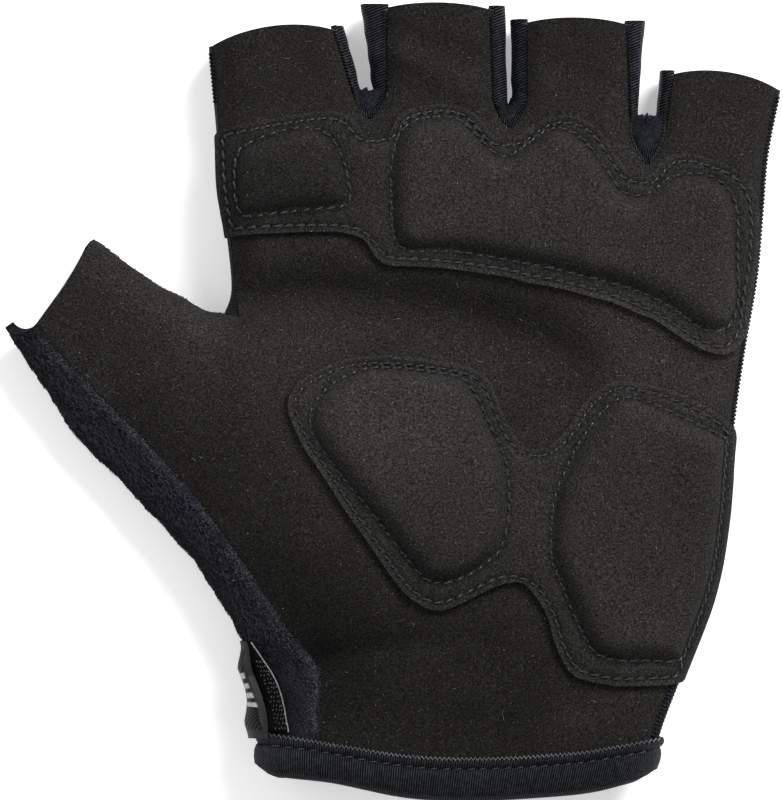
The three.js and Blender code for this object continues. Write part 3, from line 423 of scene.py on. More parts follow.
def clouds(points: Array, *layers: tuple[float, float, float]) -> Array:
    """Adds up random fields, each given by its height, its size and its seed."""
    return sum(height * cloud(points, size, seed) for height, size, seed in layers)


def hump(distance: Array, reach: float) -> Array:
    """Falls smoothly from 1 at no distance to nearly 0 at twice the reach."""
    return np.exp(-((distance / reach) ** 2))


class Edges:
    """Edge lines that distances are measured from, each with the cloth on its left."""

    CHUNK = 3000
    ON_EDGE = 1e-4

    def __init__(self, lines: Sequence[Array], open_ends: Sequence[tuple[bool, bool]]) -> None:
        """Keeps the segments of the lines.

        Args:
            lines: The points of each line.
            open_ends: For each line, whether it runs on straight before its start and after its end.
        """
        starts, runs, before, after = [], [], [], []
        for line, (opens, ends) in zip(lines, open_ends):
            count = len(line) - 1
            starts.append(line[:-1])
            runs.append(np.diff(line, axis=0))
            before.append(np.arange(count) == 0 if opens else np.zeros(count, bool))
            after.append(np.arange(count) == count - 1 if ends else np.zeros(count, bool))
        self.starts, self.runs = np.vstack(starts), np.vstack(runs)
        self.before, self.after = np.concatenate(before), np.concatenate(after)

    @classmethod
    def of(cls, line: Array) -> "Edges":
        """Gives the edge of one line that ends at its end points."""
        return cls([line], [(False, False)])

    def distance(self, points: Array) -> Array:
        """Gives each point's distance to the edges."""
        return self.nearest(points)[0]

    def nearest(self, points: Array) -> tuple[Array, Array]:
        """Gives each point's distance to the edges and the unit direction in from them."""
        distances, ways = [], []
        squares = (self.runs**2).sum(axis=1)
        normals = np.column_stack([-self.runs[:, 1], self.runs[:, 0]]) / np.sqrt(squares)[:, None]
        for first in range(0, len(points), self.CHUNK):
            some = points[first : first + self.CHUNK]
            part = ((some[:, None] - self.starts) * self.runs).sum(axis=2) / squares
            part = np.where((part < 0) & ~self.before, 0, part)
            part = np.where((part > 1) & ~self.after, 1, part)
            away = some[:, None] - (self.starts + part[:, :, None] * self.runs)
            distance = np.sqrt((away**2).sum(axis=2))
            best = distance.argmin(axis=1)
            rows = np.arange(len(some))
            near = distance[rows, best]
            way = away[rows, best] / np.maximum(near, 1e-9)[:, None]
            distances.append(near)
            ways.append(np.where(near[:, None] > self.ON_EDGE, way, normals[best]))
        return np.concatenate(distances), np.vstack(ways)


@dataclass(frozen=True)
class HandSizes:
    """The driving sizes of the glove, in millimetres."""

    palm_width: float = 102.0
    palm_length: float = 119.0
    finger_length: float = 23.0
    slot_width: float = 6.8
    slot_rounding: float = 1.6
    thumb_length: float = 28.6
    thumb_width: float = 22.7
    thumb_angle: float = 150.5
    wrist_sag: float = 4.4
    palm_height: float = 17.0
    finger_height: float = 14.5
    thumb_height: float = 14.0
    wrist_height: float = 16.0
    roll_reach: float = 7.5
    slot_reach: float = 4.0
    slot_drop: float = 1.8
    slot_rise: float = 1.2
    binding_flange: float = 5.8
    suede: float = 1.2
    knit: float = 1.0
    terry: float = 1.6
    seam_inset: float = 0.8
    seam_gap: float = 0.35
    hook_tape: float = 1.2
    tab_rubber: float = 1.8

    @property
    def strap_stack(self) -> float:
        """Gives the thickness of the closure's layers, which lift the back of the wrist."""
        return self.seam_gap * 2 + self.hook_tape + self.tab_rubber


class Plan:
    """The outlines of the flat glove and the heights of its palm side and its back."""

    STEPS = 14
    ROUND_STEPS = 8
    LONGEST_EDGE = 5.0
    SLOT_TIP = 0.18
    WRIST_SEAM_SHARE = 0.159
    WRIST_UNEVENNESS = ((0.18, 0.15, 1.45), (0.84, 0.1, -0.35))
    FINGER_SLOPE = (0.85, 1.1)
    WRIST_SLOPE = (0.05, 0.35)
    THUMB_SLOPE = (-0.7, -0.4)
    CLOSURE_SLOPE = (0.2, 0.32)

    def __init__(self, sizes: HandSizes) -> None:
        """Draws the outlines from the tables."""
        self.sizes = sizes
        self.crotch = self.place([CROTCH])[0]
        self.right_side = self.line(RIGHT_SIDE)
        self.index_side = self.line(INDEX_SIDE)
        self.thumb_top = self.line(THUMB_TOP)
        self.thumb_side = self.line(THUMB_SIDE)
        self.thumb_hem = self.line(THUMB_HEM)
        self.terry_seam = self.line(TERRY_SEAM)
        self.thumb_root = self.line(THUMB_ROOT)
        self.wrist_seam = np.vstack([self.line(WRIST_SEAM), self.wrist([self.WRIST_SEAM_SHARE])])
        self.terry_edge = np.vstack([self.terry_seam, self.wrist_seam[1:]])
        self.slot_edges = [(self.slot_edge(n, -1), self.slot_edge(n, 1)) for n in range(len(SLOTS))]
        self.rolled = Edges(
            [self.right_side, self.index_side, self.thumb_top, self.thumb_side],
            [(True, True), (True, False), (False, True), (True, True)],
        )
        notches = [np.vstack([right[::-1], left[1:]]) for left, right in self.slot_edges]
        self.slots = Edges(notches, [(True, True)] * len(notches))

    def place(self, spots: Iterable[Spot]) -> Array:
        """Gives where the spots of a table lie."""
        sizes = self.sizes
        angle = math.radians(sizes.thumb_angle)
        out = np.array([math.cos(angle), math.sin(angle)]) * sizes.thumb_length
        down = np.array([-math.sin(angle), math.cos(angle)]) * sizes.thumb_width
        root = np.array([CROTCH.first * sizes.palm_width, CROTCH.second * sizes.palm_length])
        points = []
        for spot in spots:
            if spot.ground is Ground.THUMB:
                points.append(root + spot.first * out + spot.second * down)
                continue
            up = spot.second * sizes.palm_length
            if spot.ground is Ground.FINGER:
                up = sizes.palm_length + spot.second * sizes.finger_length
            points.append([spot.first * sizes.palm_width, up])
        return np.array(points, dtype=float)

    def line(self, spots: Sequence[Spot]) -> Array:
        """Draws the smooth line of a table."""
        return spline(self.place(spots), self.STEPS)

    def slot_edge(self, number: int, side: int) -> Array:
        """Draws one side of a slot, from its pointed bottom up to the hem corner."""
        bottom = self.place([SLOTS[number].bottom])[0]
        spot = HEMS[number].right if side < 0 else HEMS[number + 1].left
        corner = self.place([spot])[0]
        half = self.sizes.slot_width / 2
        share = np.linspace(0, 1, self.ROUND_STEPS + 1)
        tip = self.SLOT_TIP
        rise = (np.sqrt(share**2 + tip**2) - tip) / (math.sqrt(1 + tip**2) - tip)
        out = np.sin(share * math.pi / 2) * 0.5 + share * 0.5
        around = bottom + np.column_stack([side * half * out, self.sizes.slot_rounding * half * rise])
        straight = resample(np.vstack([around[-1], corner]), 0.8)
        return np.vstack([around, straight[1:]])

    def wrist(self, shares: Sequence[float] | Array, above: float = 0.0) -> Array:
        """Gives points of the wrist line, or of a line that lies above it."""
        share = np.asarray(shares, dtype=float)[:, None]
        left = at_level(self.thumb_side, self.thumb_side[-1, 1] + above)
        right = at_level(self.right_side, self.right_side[0, 1] + above)
        points = left * (1 - share) + right * share
        points[:, 1] -= self.sizes.wrist_sag * 4 * (share * (1 - share))[:, 0]
        full = 1 - 0.6 * min(max(above / self.sizes.binding_flange, 0), 1)
        inside = np.minimum(np.minimum(share, 1 - share)[:, 0] / 0.06, 1)
        for middle, width, rise in self.WRIST_UNEVENNESS:
            points[:, 1] += inside * full * rise * hump(share[:, 0] - middle, width)
        return points

    def hem(self, number: int, left: Array, right: Array) -> Array:
        """Draws a finger's hem from its left to its right corner."""
        share = np.linspace(0, 1, 28)[:, None]
        points = left * (1 - share) + right * share
        points[:, 1] += HEMS[number].bow * self.sizes.finger_length * 4 * (share * (1 - share))[:, 0]
        return points

    def sections(self, table: Sequence[SectionRow], inset: float) -> Array:
        """Draws the closed outline of a patch or pad from its table, kept in from the side edges."""
        rows = np.array(table) * [self.sizes.palm_width, self.sizes.palm_length, self.sizes.palm_length]
        corners = np.vstack([rows[:, [0, 1]], rows[::-1][:, [0, 2]]])
        close = resample_edges(corners, self.LONGEST_EDGE)
        outline = smooth_closed(resample(spline(close, 6, closed=True), 0.6, closed=True), 2)
        distance, inward = self.rolled.nearest(outline)
        outside = self.outside(outline)
        lack = np.where(outside, inset + distance, np.maximum(inset - distance, 0))
        way = np.where(outside[:, None], -inward, inward)
        return outline + way * lack[:, None]

    def outside(self, points: Array) -> Array:
        """Tells which points lie past the little finger's side or the index finger's side."""
        right = at_level(self.right_side, points[:, 1])[:, 0]
        index = at_level(self.index_side, points[:, 1])[:, 0]
        above = points[:, 1] > self.crotch[1]
        return (points[:, 0] > right) | (above & (points[:, 0] < index))

    def height(self, points: Array) -> Array:
        """Gives the height of the palm side before its edges roll over."""
        sizes = self.sizes
        across, up = points[:, 0] / sizes.palm_width, points[:, 1] / sizes.palm_length
        height = np.full(len(points), sizes.palm_height)
        height += (sizes.finger_height - sizes.palm_height) * ease_step(up, *self.FINGER_SLOPE)
        height += (sizes.wrist_height - sizes.palm_height) * (1 - ease_step(up, *self.WRIST_SLOPE))
        height += (sizes.thumb_height - sizes.palm_height) * (1 - ease_step(across, *self.THUMB_SLOPE))
        for fold in FOLDS:
            away = self.from_line(points, fold.line)
            height += fold.height * sizes.palm_width * hump(away, fold.width * sizes.palm_width)
        return height + clouds(points, (0.22, 9.0, 3.0), (0.1, 4.0, 5.0))

    def nap(self, points: Array) -> Array:
        """Gives the suede's tone, 1 where it is even and less where it is darker: the nap's own patches
        together with the painted shade and painted light of the palm's slopes and creases.
        """
        tone = np.ones(len(points))
        for place in NAP_AND_SHADING_PLACES:
            away = self.from_line(points, place.line)
            tone += place.tone * hump(away, place.width * self.sizes.palm_width)
        return tone + clouds(points, (0.06, 7.0, 51.0), (0.05, 2.6, 52.0))

    def from_line(self, points: Array, spots: Sequence[Spot]) -> Array:
        """Gives each point's distance to the straight lines that join some spots."""
        corners = self.place(spots)
        away = np.full(len(points), np.inf)
        for start, end in zip(corners[:-1], corners[1:]):
            run = end - start
            part = np.clip(((points - start) @ run) / (run @ run), 0, 1)
            away = np.minimum(away, np.linalg.norm(points - (start + part[:, None] * run), axis=1))
        return away

    def seam_inset(self, points: Array) -> Array:
        """Gives how far the suede's edge lies in from the side edge; more beside the wrist."""
        up = points[:, 1] / self.sizes.palm_length
        right = points[:, 0] > 0
        return self.sizes.seam_inset + 0.9 * right * (1 - ease_step(up, 0.1, 0.15))

    def lift(self, points: Array) -> Array:
        """Gives how far the back stands off the ground, over the closure under the wrist."""
        up = points[:, 1] / self.sizes.palm_length
        return self.sizes.strap_stack * (1 - ease_step(up, *self.CLOSURE_SLOPE))

    def surface(self, points: Array, side: Side) -> tuple[Array, Array]:
        """Gives the cloth's outer surface over plan points.

        Args:
            points: The plan points.
            side: The palm side or the back.

        Returns:
            The places on the surface and its outward normals.
        """
        sizes = self.sizes
        top, lift = self.height(points), self.lift(points)
        half = (top - lift) / 2
        distance, inward = self.rolled.nearest(points)
        turn = 1 - np.minimum(distance / sizes.roll_reach, 1)
        round_part = np.sqrt(np.maximum(1 - turn * turn, 1e-5))
        drop, slope = half * (1 - round_part), half * turn / (sizes.roll_reach * round_part)
        gap, away = self.slots.nearest(points)
        ease = 1 - np.minimum(gap / sizes.slot_reach, 1)
        depth = sizes.slot_drop if side is Side.PALM else sizes.slot_rise
        slot_drop, slot_slope = depth * ease * ease, 2 * depth * ease / sizes.slot_reach
        beside = slot_drop > drop
        drop, slope = np.where(beside, slot_drop, drop), np.where(beside, slot_slope, slope)
        inward = np.where(beside[:, None], away, inward)
        field = self.height if side is Side.PALM else self.lift
        slant = self.gradient(field, points) + side.value * slope[:, None] * inward
        height = top - drop if side is Side.PALM else lift + drop
        normals = np.column_stack([-side.value * slant, np.full(len(points), float(side.value))])
        return np.column_stack([points, height]), unit(normals)

    @staticmethod
    def gradient(height: Callable[[Array], Array], points: Array) -> Array:
        """Gives the slope of a field of heights at some points."""
        step = 0.4
        rises = [height(points + step * axis) - height(points - step * axis) for axis in np.eye(2)]
        return np.column_stack(rises) / (2 * step)


def resample_edges(corners: Array, longest: float) -> Array:
    """Divides the long edges of a closed outline, so that a smooth line through it keeps to them."""
    points = []
    for start, end in zip(corners, np.roll(corners, -1, axis=0)):
        count = max(int(np.linalg.norm(end - start) // longest), 1)
        points.extend(start + (end - start) * k / count for k in range(count))
    return np.array(points)


def smooth_closed(line: Array, rounds: int) -> Array:
    """Softens a closed line by averaging each point with its neighbours."""
    for _ in range(rounds):
        line = (np.roll(line, 1, axis=0) + 2 * line + np.roll(line, -1, axis=0)) / 4
    return line


def inside_outline(points: Array, outline: Array) -> Array:
    """Tells which points lie inside a closed outline."""
    inside = np.zeros(len(points), bool)
    x, y = points.T
    for start, end in zip(outline, np.roll(outline, -1, axis=0)):
        crosses = (start[1] > y) != (end[1] > y)
        if start[1] != end[1]:
            at = start[0] + (y - start[1]) * (end[0] - start[0]) / (end[1] - start[1])
            inside ^= crosses & (x < at)
    return inside


@dataclass
class Sheet:
    """A surface of plan points: where it lies, which way it faces, and its triangles."""

    plan: Array
    triangles: Array


def fill(outline: Array, spacing: float, rings: Sequence[float] = ()) -> Sheet:
    """Fills a closed outline with triangles.

    Args:
        outline: The outline, anticlockwise.
        spacing: The distance between the points inside.
        rings: Distances from the outline at which further rows of points follow it.

    Returns:
        The filled sheet, which starts with the outline's own points.
    """
    edge = Edges.of(with_start(outline))
    normals = left_normals(outline, closed=True)
    rows = [outline]
    for ring in rings:
        points = outline + normals * ring
        rows.append(points[(edge.distance(points) > 0.93 * ring) & inside_outline(points, outline)])
    low, high = outline.min(axis=0), outline.max(axis=0)
    lattice = []
    for number, level in enumerate(np.arange(low[1], high[1], spacing * 0.866)):
        across = np.arange(low[0] + (number % 2) * spacing / 2, high[0], spacing)
        lattice.append(np.column_stack([across, np.full(len(across), level)]))
    inner = np.vstack(lattice)
    inner = inner[inside_outline(inner, outline)]
    margin = max(rings, default=0) + 0.55 * spacing
    rows.append(inner[edge.distance(inner) > margin])
    plan = np.vstack(rows)
    vectors = [Vector(point) for point in plan]
    border = list(range(len(outline)))
    made, _, faces, sources, _, _ = delaunay_2d_cdt(vectors, [], [border], 1, 1e-7)
    points = [plan[ids[0]] if ids else np.array(place) for ids, place in zip(sources, made)]
    return Sheet(np.array(points), np.array(faces, dtype=int))


def triples(*corners: Array) -> Array:
    """Makes triangles of three tables of point numbers."""
    return np.stack(corners, -1).reshape(-1, 3)


def grid_triangles(height: int, width: int) -> Array:
    """Gives the triangles between the points of a grid, row by row."""
    index = np.arange(height * width).reshape(height, width)
    a, b, c, d = index[:-1, :-1], index[:-1, 1:], index[1:, 1:], index[1:, :-1]
    return np.concatenate([triples(a, b, c), triples(a, c, d)])


def grid_sheet(rows: Sequence[Array]) -> Sheet:
    """Makes a sheet of rows of plan points, each as long as the others."""
    table = np.array(rows)
    return Sheet(table.reshape(-1, 2), grid_triangles(*table.shape[:2]))


@dataclass
class Skin:
    """A curved surface in space: its points, outward normals and triangles."""

    points: Array
    normals: Array
    triangles: Array

    def boundary(self) -> Array:
        """Gives the directed edges that only one triangle has."""
        edges = np.concatenate([self.triangles[:, pair] for pair in ([0, 1], [1, 2], [2, 0])])
        size = len(self.points)
        keys, mirrored = edges[:, 0] * size + edges[:, 1], edges[:, 1] * size + edges[:, 0]
        return edges[~np.isin(keys, mirrored)]


def lay(plan: Plan, parts: Sequence[tuple[Sheet, Side]]) -> Skin:
    """Lays sheets on the glove's surfaces and joins them where they meet at its side edges.

    Args:
        plan: The glove's plan.
        parts: The sheets, each with the side that it lies on.

    Returns:
        The joined surface.
    """
    points, normals, triangles, shared = [], [], [], {}
    for sheet, side in parts:
        places, ways = plan.surface(sheet.plan, side)
        on_edge = plan.rolled.distance(sheet.plan) < 1e-6
        numbers = []
        for at, place, way, joins in zip(sheet.plan, places, ways, on_edge):
            number = len(points)
            if joins:
                number = shared.setdefault((at[0], at[1]), number)
            numbers.append(number)
            if number == len(points):
                points.append(place)
                normals.append(way)
        corners = np.array(numbers)[sheet.triangles]
        triangles.append(corners if side is Side.PALM else corners[:, ::-1])
    return Skin(np.array(points), np.array(normals), np.vstack(triangles))


def thicken(skin: Skin, low: Array | float, high: Array | float) -> Mesh:
    """Makes a closed cloth of a surface.

    Args:
        skin: The surface.
        low: The depth of the inner face along the normals.
        high: The depth of the outer face along the normals.

    Returns:
        The vertices and the triangles of the cloth.
    """
    count = len(skin.points)
    outer = skin.points + skin.normals * np.broadcast_to(high, count)[:, None]
    inner = skin.points + skin.normals * np.broadcast_to(low, count)[:, None]
    rim = skin.boundary()
    faces = [
        skin.triangles,
        skin.triangles[:, ::-1] + count,
        np.column_stack([rim[:, 1], rim[:, 0], rim[:, 0] + count]),
        np.column_stack([rim[:, 1], rim[:, 0] + count, rim[:, 1] + count]),
    ]
    return np.vstack([outer, inner]), np.vstack(faces)


def rings_of(side: Array, up: Array, count: int) -> Array:
    """Gives the unit points of a round section at each place, from its two directions."""
    angles = np.arange(count) * math.tau / count
    return side[:, None] * np.cos(angles)[None, :, None] + up[:, None] * np.sin(angles)[None, :, None]


def tube(line: Array, radius: Array | float, sides: int) -> Mesh:
    """Makes a round tube with closed ends along a line in space.

    Args:
        line: The points of the tube's middle.
        radius: Its radius, or its radius at each point.
        sides: How many sides it has.

    Returns:
        The vertices and the triangles of the tube.
    """
    count = len(line)
    run = directions(line)
    up = np.tile([0.0, 0.0, 1.0], (count, 1))
    up[np.abs(run[:, 2]) > 0.9] = [1.0, 0.0, 0.0]
    side = unit(np.cross(run, up))
    ring = rings_of(side, np.cross(side, run), sides)
    vertices = (line[:, None] + ring * np.broadcast_to(radius, count)[:, None, None]).reshape(-1, 3)
    index = np.arange(count * sides).reshape(count, sides)
    a, d = index[:-1], index[1:]
    b, c = np.roll(a, -1, axis=1), np.roll(d, -1, axis=1)
    fan = np.array([(0, i, i + 1) for i in range(1, sides - 1)])
    return vertices, np.concatenate([triples(a, c, b), triples(a, d, c), fan, fan[:, ::-1] + index[-1, 0]])


def join(parts: Sequence[Mesh]) -> Mesh:
    """Joins meshes of vertices and triangles into one."""
    offsets = np.cumsum([0] + [len(vertices) for vertices, _ in parts[:-1]])
    return (
        np.vstack([vertices for vertices, _ in parts]),
        np.vstack([faces + offset for (_, faces), offset in zip(parts, offsets)]),
    )


class Workshop:
    """Turns the plan's meshes into the scene's pieces, at the part's own origin."""

    CREASE_DEGREES = 42

    def __init__(self, plan: Plan) -> None:
        """Finds the part's origin from the frame's thumb, whose tip and upper corner the plan gives."""
        low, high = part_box("thumb_terry")
        tip, corner = plan.thumb_side[0], plan.thumb_top[-1]
        left, top = low[0] / MILLIMETRE, high[1] / MILLIMETRE
        self.shift = np.array([left - tip[0], top - corner[1], 0.0])
        self.plan = plan
        self.made: list[Piece] = []

    def add(
        self,
        name: str,
        mesh: Mesh,
        finish: "Finish",
        marks: dict[str, Array] | None = None,
    ) -> Piece:
        """Adds a piece that rides on the glove.

        Args:
            name: The piece's name.
            mesh: Its vertices, in plan millimetres, and its triangles.
            finish: Its finish.
            marks: Values at the vertices that the finish reads, by name.

        Returns:
            The new object.
        """
        vertices, faces = mesh
        data = bpy.data.meshes.new(name)
        places = (vertices + self.shift) * MILLIMETRE
        data.from_pydata(places.tolist(), [], faces.tolist())
        for mark, values in (marks or {}).items():
            attribute = data.attributes.new(mark, "FLOAT", "POINT")
            attribute.data.foreach_set("value", np.asarray(values, dtype=np.float32))
        data.validate()
        data.shade_smooth()
        data.set_sharp_from_angle(angle=math.radians(self.CREASE_DEGREES))
        data.materials.append(finish.material())
        piece = bpy.data.objects.new(name, data)
        bpy.context.scene.collection.objects.link(piece)
        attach(piece, "root")
        self.made.append(piece)
        LOG.info("%s: %d triangles", name, len(faces))
        return piece


class Nodes:
    """A short way to write a material's nodes."""

    def __init__(self, name: str) -> None:
        """Starts a material with a principled shader."""
        self.data = bpy.data.materials.new(f"{name}_finish")
        self.data.use_nodes = True
        self.tree = self.data.node_tree
        self.shader = self.tree.nodes["Principled BSDF"]
        self.coordinates = self.tree.nodes.new("ShaderNodeTexCoord").outputs["Object"]

    def set(self, **values: float | tuple[float, ...]) -> None:
        """Sets constants on the shader's own sockets; an underscore stands for a space."""
        for name, value in values.items():
            self.shader.inputs[name.replace("_", " ")].default_value = value

    def node(self, kind: str, **inputs: Socket | float) -> bpy.types.Node:
        """Adds a node and fills its inputs with constants or links; an underscore stands for a space."""
        node = self.tree.nodes.new(f"ShaderNode{kind}")
        for name, value in inputs.items():
            self.fill(node.inputs[name.replace("_", " ")], value)
        return node

    def fill(self, socket: Socket, value: "Socket | float | Tone") -> None:
        """Gives an input a constant, a colour or a link."""
        if isinstance(value, bpy.types.NodeSocket):
            self.tree.links.new(value, socket)
        else:
            socket.default_value = (*value, 1.0) if isinstance(value, tuple) else value

    def noise(self, size: float, detail: float = 2.0, roughness: float = 0.5) -> Socket:
        """Adds a noise whose patches are about one size wide, in millimetres."""
        scale = 1 / (size * MILLIMETRE)
        node = self.node("TexNoise", Vector=self.coordinates, Scale=scale, Detail=detail, Roughness=roughness)
        return node.outputs["Fac"]

    def patchy(
        self, size: float, low: float, high: float, detail: float = 2.0, roughness: float = 0.5
    ) -> Socket:
        """Gives a noise whose range from low to high is stretched to 0 to 1."""
        return self.span(self.noise(size, detail, roughness), low, high, 0, 1)

    def specks(self, size: float, reach: float, share: float) -> Socket:
        """Adds rare bright dots: 1 in a dot and 0 beside it."""
        cells = self.node("TexVoronoi", Vector=self.coordinates, Scale=1 / (size * MILLIMETRE))
        near = self.span(cells.outputs["Distance"], reach, reach * 0.4, 0, 1)
        split = self.node("SeparateColor", Color=cells.outputs["Color"])
        rare = self.span(split.outputs[0], 1 - share, 1 - share * 0.6, 0, 1)
        return self.math("MULTIPLY", near, rare)

    def span(self, value: Socket, low: float, high: float, new_low: float, new_high: float) -> Socket:
        """Stretches a value from one range to another and keeps it there."""
        ends = {"From_Min": low, "From_Max": high, "To_Min": new_low, "To_Max": new_high}
        return self.node("MapRange", Value=value, **ends).outputs["Result"]

    def math(self, operation: str, first: Socket | float, second: Socket | float = 0.0) -> Socket:
        """Adds a sum, product or other operation of two values."""
        node = self.node("Math")
        node.operation = operation
        for socket, value in zip(node.inputs, (first, second)):
            self.fill(socket, value)
        return node.outputs["Value"]

    def blend(self, share: Socket, first: "Tone | Socket", second: "Tone | Socket") -> Socket:
        """Mixes two colours by a share."""
        node = self.node("Mix")
        node.data_type = "RGBA"
        self.fill(node.inputs["Factor"], share)
        colours = [socket for socket in node.inputs if socket.type == "RGBA"]
        for socket, colour in zip(colours, (first, second)):
            self.fill(socket, colour)
        return next(socket for socket in node.outputs if socket.type == "RGBA")

    def mark(self, name: str) -> Socket:
        """Reads a value that is kept at the mesh's vertices."""
        node = self.node("Attribute")
        node.attribute_name = name
        return node.outputs["Fac"]

    def wave(self, value: Socket, pitch: float) -> Socket:
        """Gives a sine from 0 to 1 with one wave for each pitch of a value."""
        turns = self.math("MULTIPLY", value, 2 * math.pi / pitch)
        return self.span(self.math("SINE", turns), -1, 1, 0, 1)

    def scaled(self, colour: Socket, by: Socket) -> Socket:
        """Makes a colour darker or lighter by a value."""
        node = self.node("VectorMath")
        node.operation = "SCALE"
        self.fill(node.inputs[0], colour)
        self.fill(node.inputs["Scale"], by)
        return node.outputs["Vector"]

    def finish_colour(self, colour: Socket) -> None:
        """Gives the shader its colour."""
        self.fill(self.shader.inputs["Base Color"], colour)

    def bump(self, height: Socket, depth: float, strength: float = 1.0) -> None:
        """Adds relief of a depth in millimetres; a second call adds to the first."""
        node = self.node("Bump", Distance=depth * MILLIMETRE, Strength=strength, Height=height)
        socket = self.shader.inputs["Normal"]
        if socket.is_linked:
            self.fill(node.inputs["Normal"], socket.links[0].from_socket)
        self.fill(socket, node.outputs["Normal"])


@dataclass(frozen=True)
class Finish:
    """A finish of the glove: its name, the record's slot that it stands for, and its tones."""

    name: str
    slot: str
    dark: Tone
    light: Tone

    def material(self) -> bpy.types.Material:
        """Gives the finish's material, made once."""
        made = bpy.data.materials.get(f"{self.name}_finish")
        if made:
            return made
        nodes = Nodes(self.name)
        self.paint(nodes)
        return nodes.data

    def tint(self, nodes: Nodes, share: Socket) -> Socket:
        """Gives the dark tone where a share is 0 and the light tone where it is 1."""
        return nodes.blend(share, self.dark, self.light)

    def paint(self, nodes: Nodes) -> None:
        """Makes the material's nodes."""
        raise NotImplementedError


@dataclass(frozen=True)
class Suede(Finish):
    """Matt synthetic suede: a fine nap with a few pale fibre ends."""

    speck: Tone = (0.095, 0.091, 0.086)
    bright_speck: Tone = (0.36, 0.35, 0.33)
    grain: float = 0.34

    def paint(self, nodes: Nodes) -> None:
        """Makes the nap, its cloudy tone and its bright specks; the nap mark scales the colour with the nap's
        tone and with painted shade and painted light.
        """
        nap = self.tint(nodes, nodes.patchy(self.grain, 0.41, 0.62, 3, 0.75))
        flecked = nodes.blend(nodes.specks(0.42, 0.3, 0.16), nap, self.speck)
        # Scales the colour by the nap mark: the nap's own tone together with painted shade and painted light
        # of the palm's relief.
        nap_and_shading_colour = nodes.scaled(flecked, nodes.mark("nap"))
        nodes.finish_colour(nodes.blend(nodes.specks(1.1, 0.085, 0.07), nap_and_shading_colour, self.bright_speck))
        nodes.bump(nodes.noise(self.grain, 3, 0.75), 0.2, 0.9)
        nodes.bump(nodes.noise(1.2, 3), 0.14, 0.6)
        nodes.set(Roughness=0.95, Specular_IOR_Level=0.06)


@dataclass(frozen=True)
class Knit(Finish):
    """Fine stretch knit with small slanted loops."""

    pitch: float = 0.7

    def paint(self, nodes: Nodes) -> None:
        """Makes the knit's columns and rows of loops."""
        split = nodes.node("SeparateXYZ", Vector=nodes.coordinates)
        columns = nodes.wave(split.outputs["X"], self.pitch * MILLIMETRE)
        rows = nodes.wave(split.outputs["Y"], self.pitch * 0.8 * MILLIMETRE)
        loops = nodes.math("MULTIPLY", columns, rows)
        uneven = nodes.math("ADD", loops, nodes.span(nodes.noise(0.5), 0.3, 0.7, -0.25, 0.25))
        nodes.finish_colour(self.tint(nodes, nodes.span(uneven, 0, 1, 0, 1)))
        nodes.bump(uneven, 0.22, 0.9)
        nodes.set(Roughness=0.85, Specular_IOR_Level=0.15)


@dataclass(frozen=True)
class Terry(Finish):
    """Terry cloth whose pile is raised by brushing: soft loops that catch the light."""

    loop: float = 0.55

    def paint(self, nodes: Nodes) -> None:
        """Makes the tone of the loops and the dark between them."""
        pile = self.tint(nodes, nodes.patchy(self.loop, 0.35, 0.68, 4, 0.7))
        cloudy = nodes.span(nodes.noise(5.0), 0.4, 0.65, 0, 0.4)
        nodes.finish_colour(nodes.blend(cloudy, pile, self.dark))
        nodes.bump(nodes.noise(self.loop, 4, 0.7), 0.4, 0.9)
        nodes.set(Roughness=1.0, Specular_IOR_Level=0.05)


@dataclass(frozen=True)
class RibbedTape(Finish):
    """Elastic tape with fine ribs across it, from the mark that runs along it."""

    rib: float = 0.45

    def paint(self, nodes: Nodes) -> None:
        """Makes the ribs and their sheen, with a painted highlight on each rib's crest and painted shade
        between the ribs.
        """
        ribs = nodes.wave(nodes.mark("along"), self.rib)
        uneven = nodes.math("ADD", ribs, nodes.span(nodes.noise(0.8), 0.3, 0.7, -0.3, 0.3))
        # The colour follows the ribs: a painted highlight on their crests and painted shade between them.
        nodes.finish_colour(self.tint(nodes, nodes.span(uneven, 0.35, 1.1, 0, 1)))
        nodes.bump(ribs, 0.24, 1.0)
        nodes.set(Roughness=0.55, Specular_IOR_Level=0.09)


@dataclass(frozen=True)
class Thread(Finish):
    """Twisted sewing thread and loose fibres."""

    def paint(self, nodes: Nodes) -> None:
        """Makes the thread's twist."""
        nodes.finish_colour(self.tint(nodes, nodes.patchy(0.25, 0.35, 0.65)))
        nodes.bump(nodes.noise(0.2), 0.05, 0.6)
        nodes.set(Roughness=0.5, Specular_IOR_Level=0.5)


@dataclass(frozen=True)
class MouldedRubber(Finish):
    """Moulded rubber with slanted ribs inside a smooth rim."""

    rib: float = 0.75
    slant: float = 0.8
    field: Tone = (0.005, 0.0052, 0.0056)
    # The dark tone painted into the groove between the ribs as shade.
    groove: Tone = (0.001, 0.001, 0.0011)
    print: Tone = (0.45, 0.46, 0.47)

    def paint(self, nodes: Nodes) -> None:
        """Makes the slanted ribs with painted shade in the groove between them, and the pale printed bars,
        from the marks of place.
        """
        shift = nodes.math("MULTIPLY", nodes.mark("across"), self.slant)
        slant = nodes.math("ADD", nodes.mark("along"), shift)
        ribs, field = nodes.wave(slant, self.rib), nodes.mark("ribbed")
        # Painted shade in the groove between the ribs, inside the ribbed field.
        rib_groove_shade = nodes.math("MULTIPLY", nodes.math("SUBTRACT", 1.0, ribs), field)
        plain = self.tint(nodes, nodes.patchy(0.3, 0.3, 0.7))
        ribbed = nodes.blend(rib_groove_shade, nodes.blend(field, plain, self.field), self.groove)
        nodes.finish_colour(nodes.blend(nodes.mark("bar"), ribbed, self.print))
        nodes.bump(nodes.math("MULTIPLY", ribs, field), 0.2, 0.9)
        nodes.set(Roughness=0.5, Specular_IOR_Level=0.1)


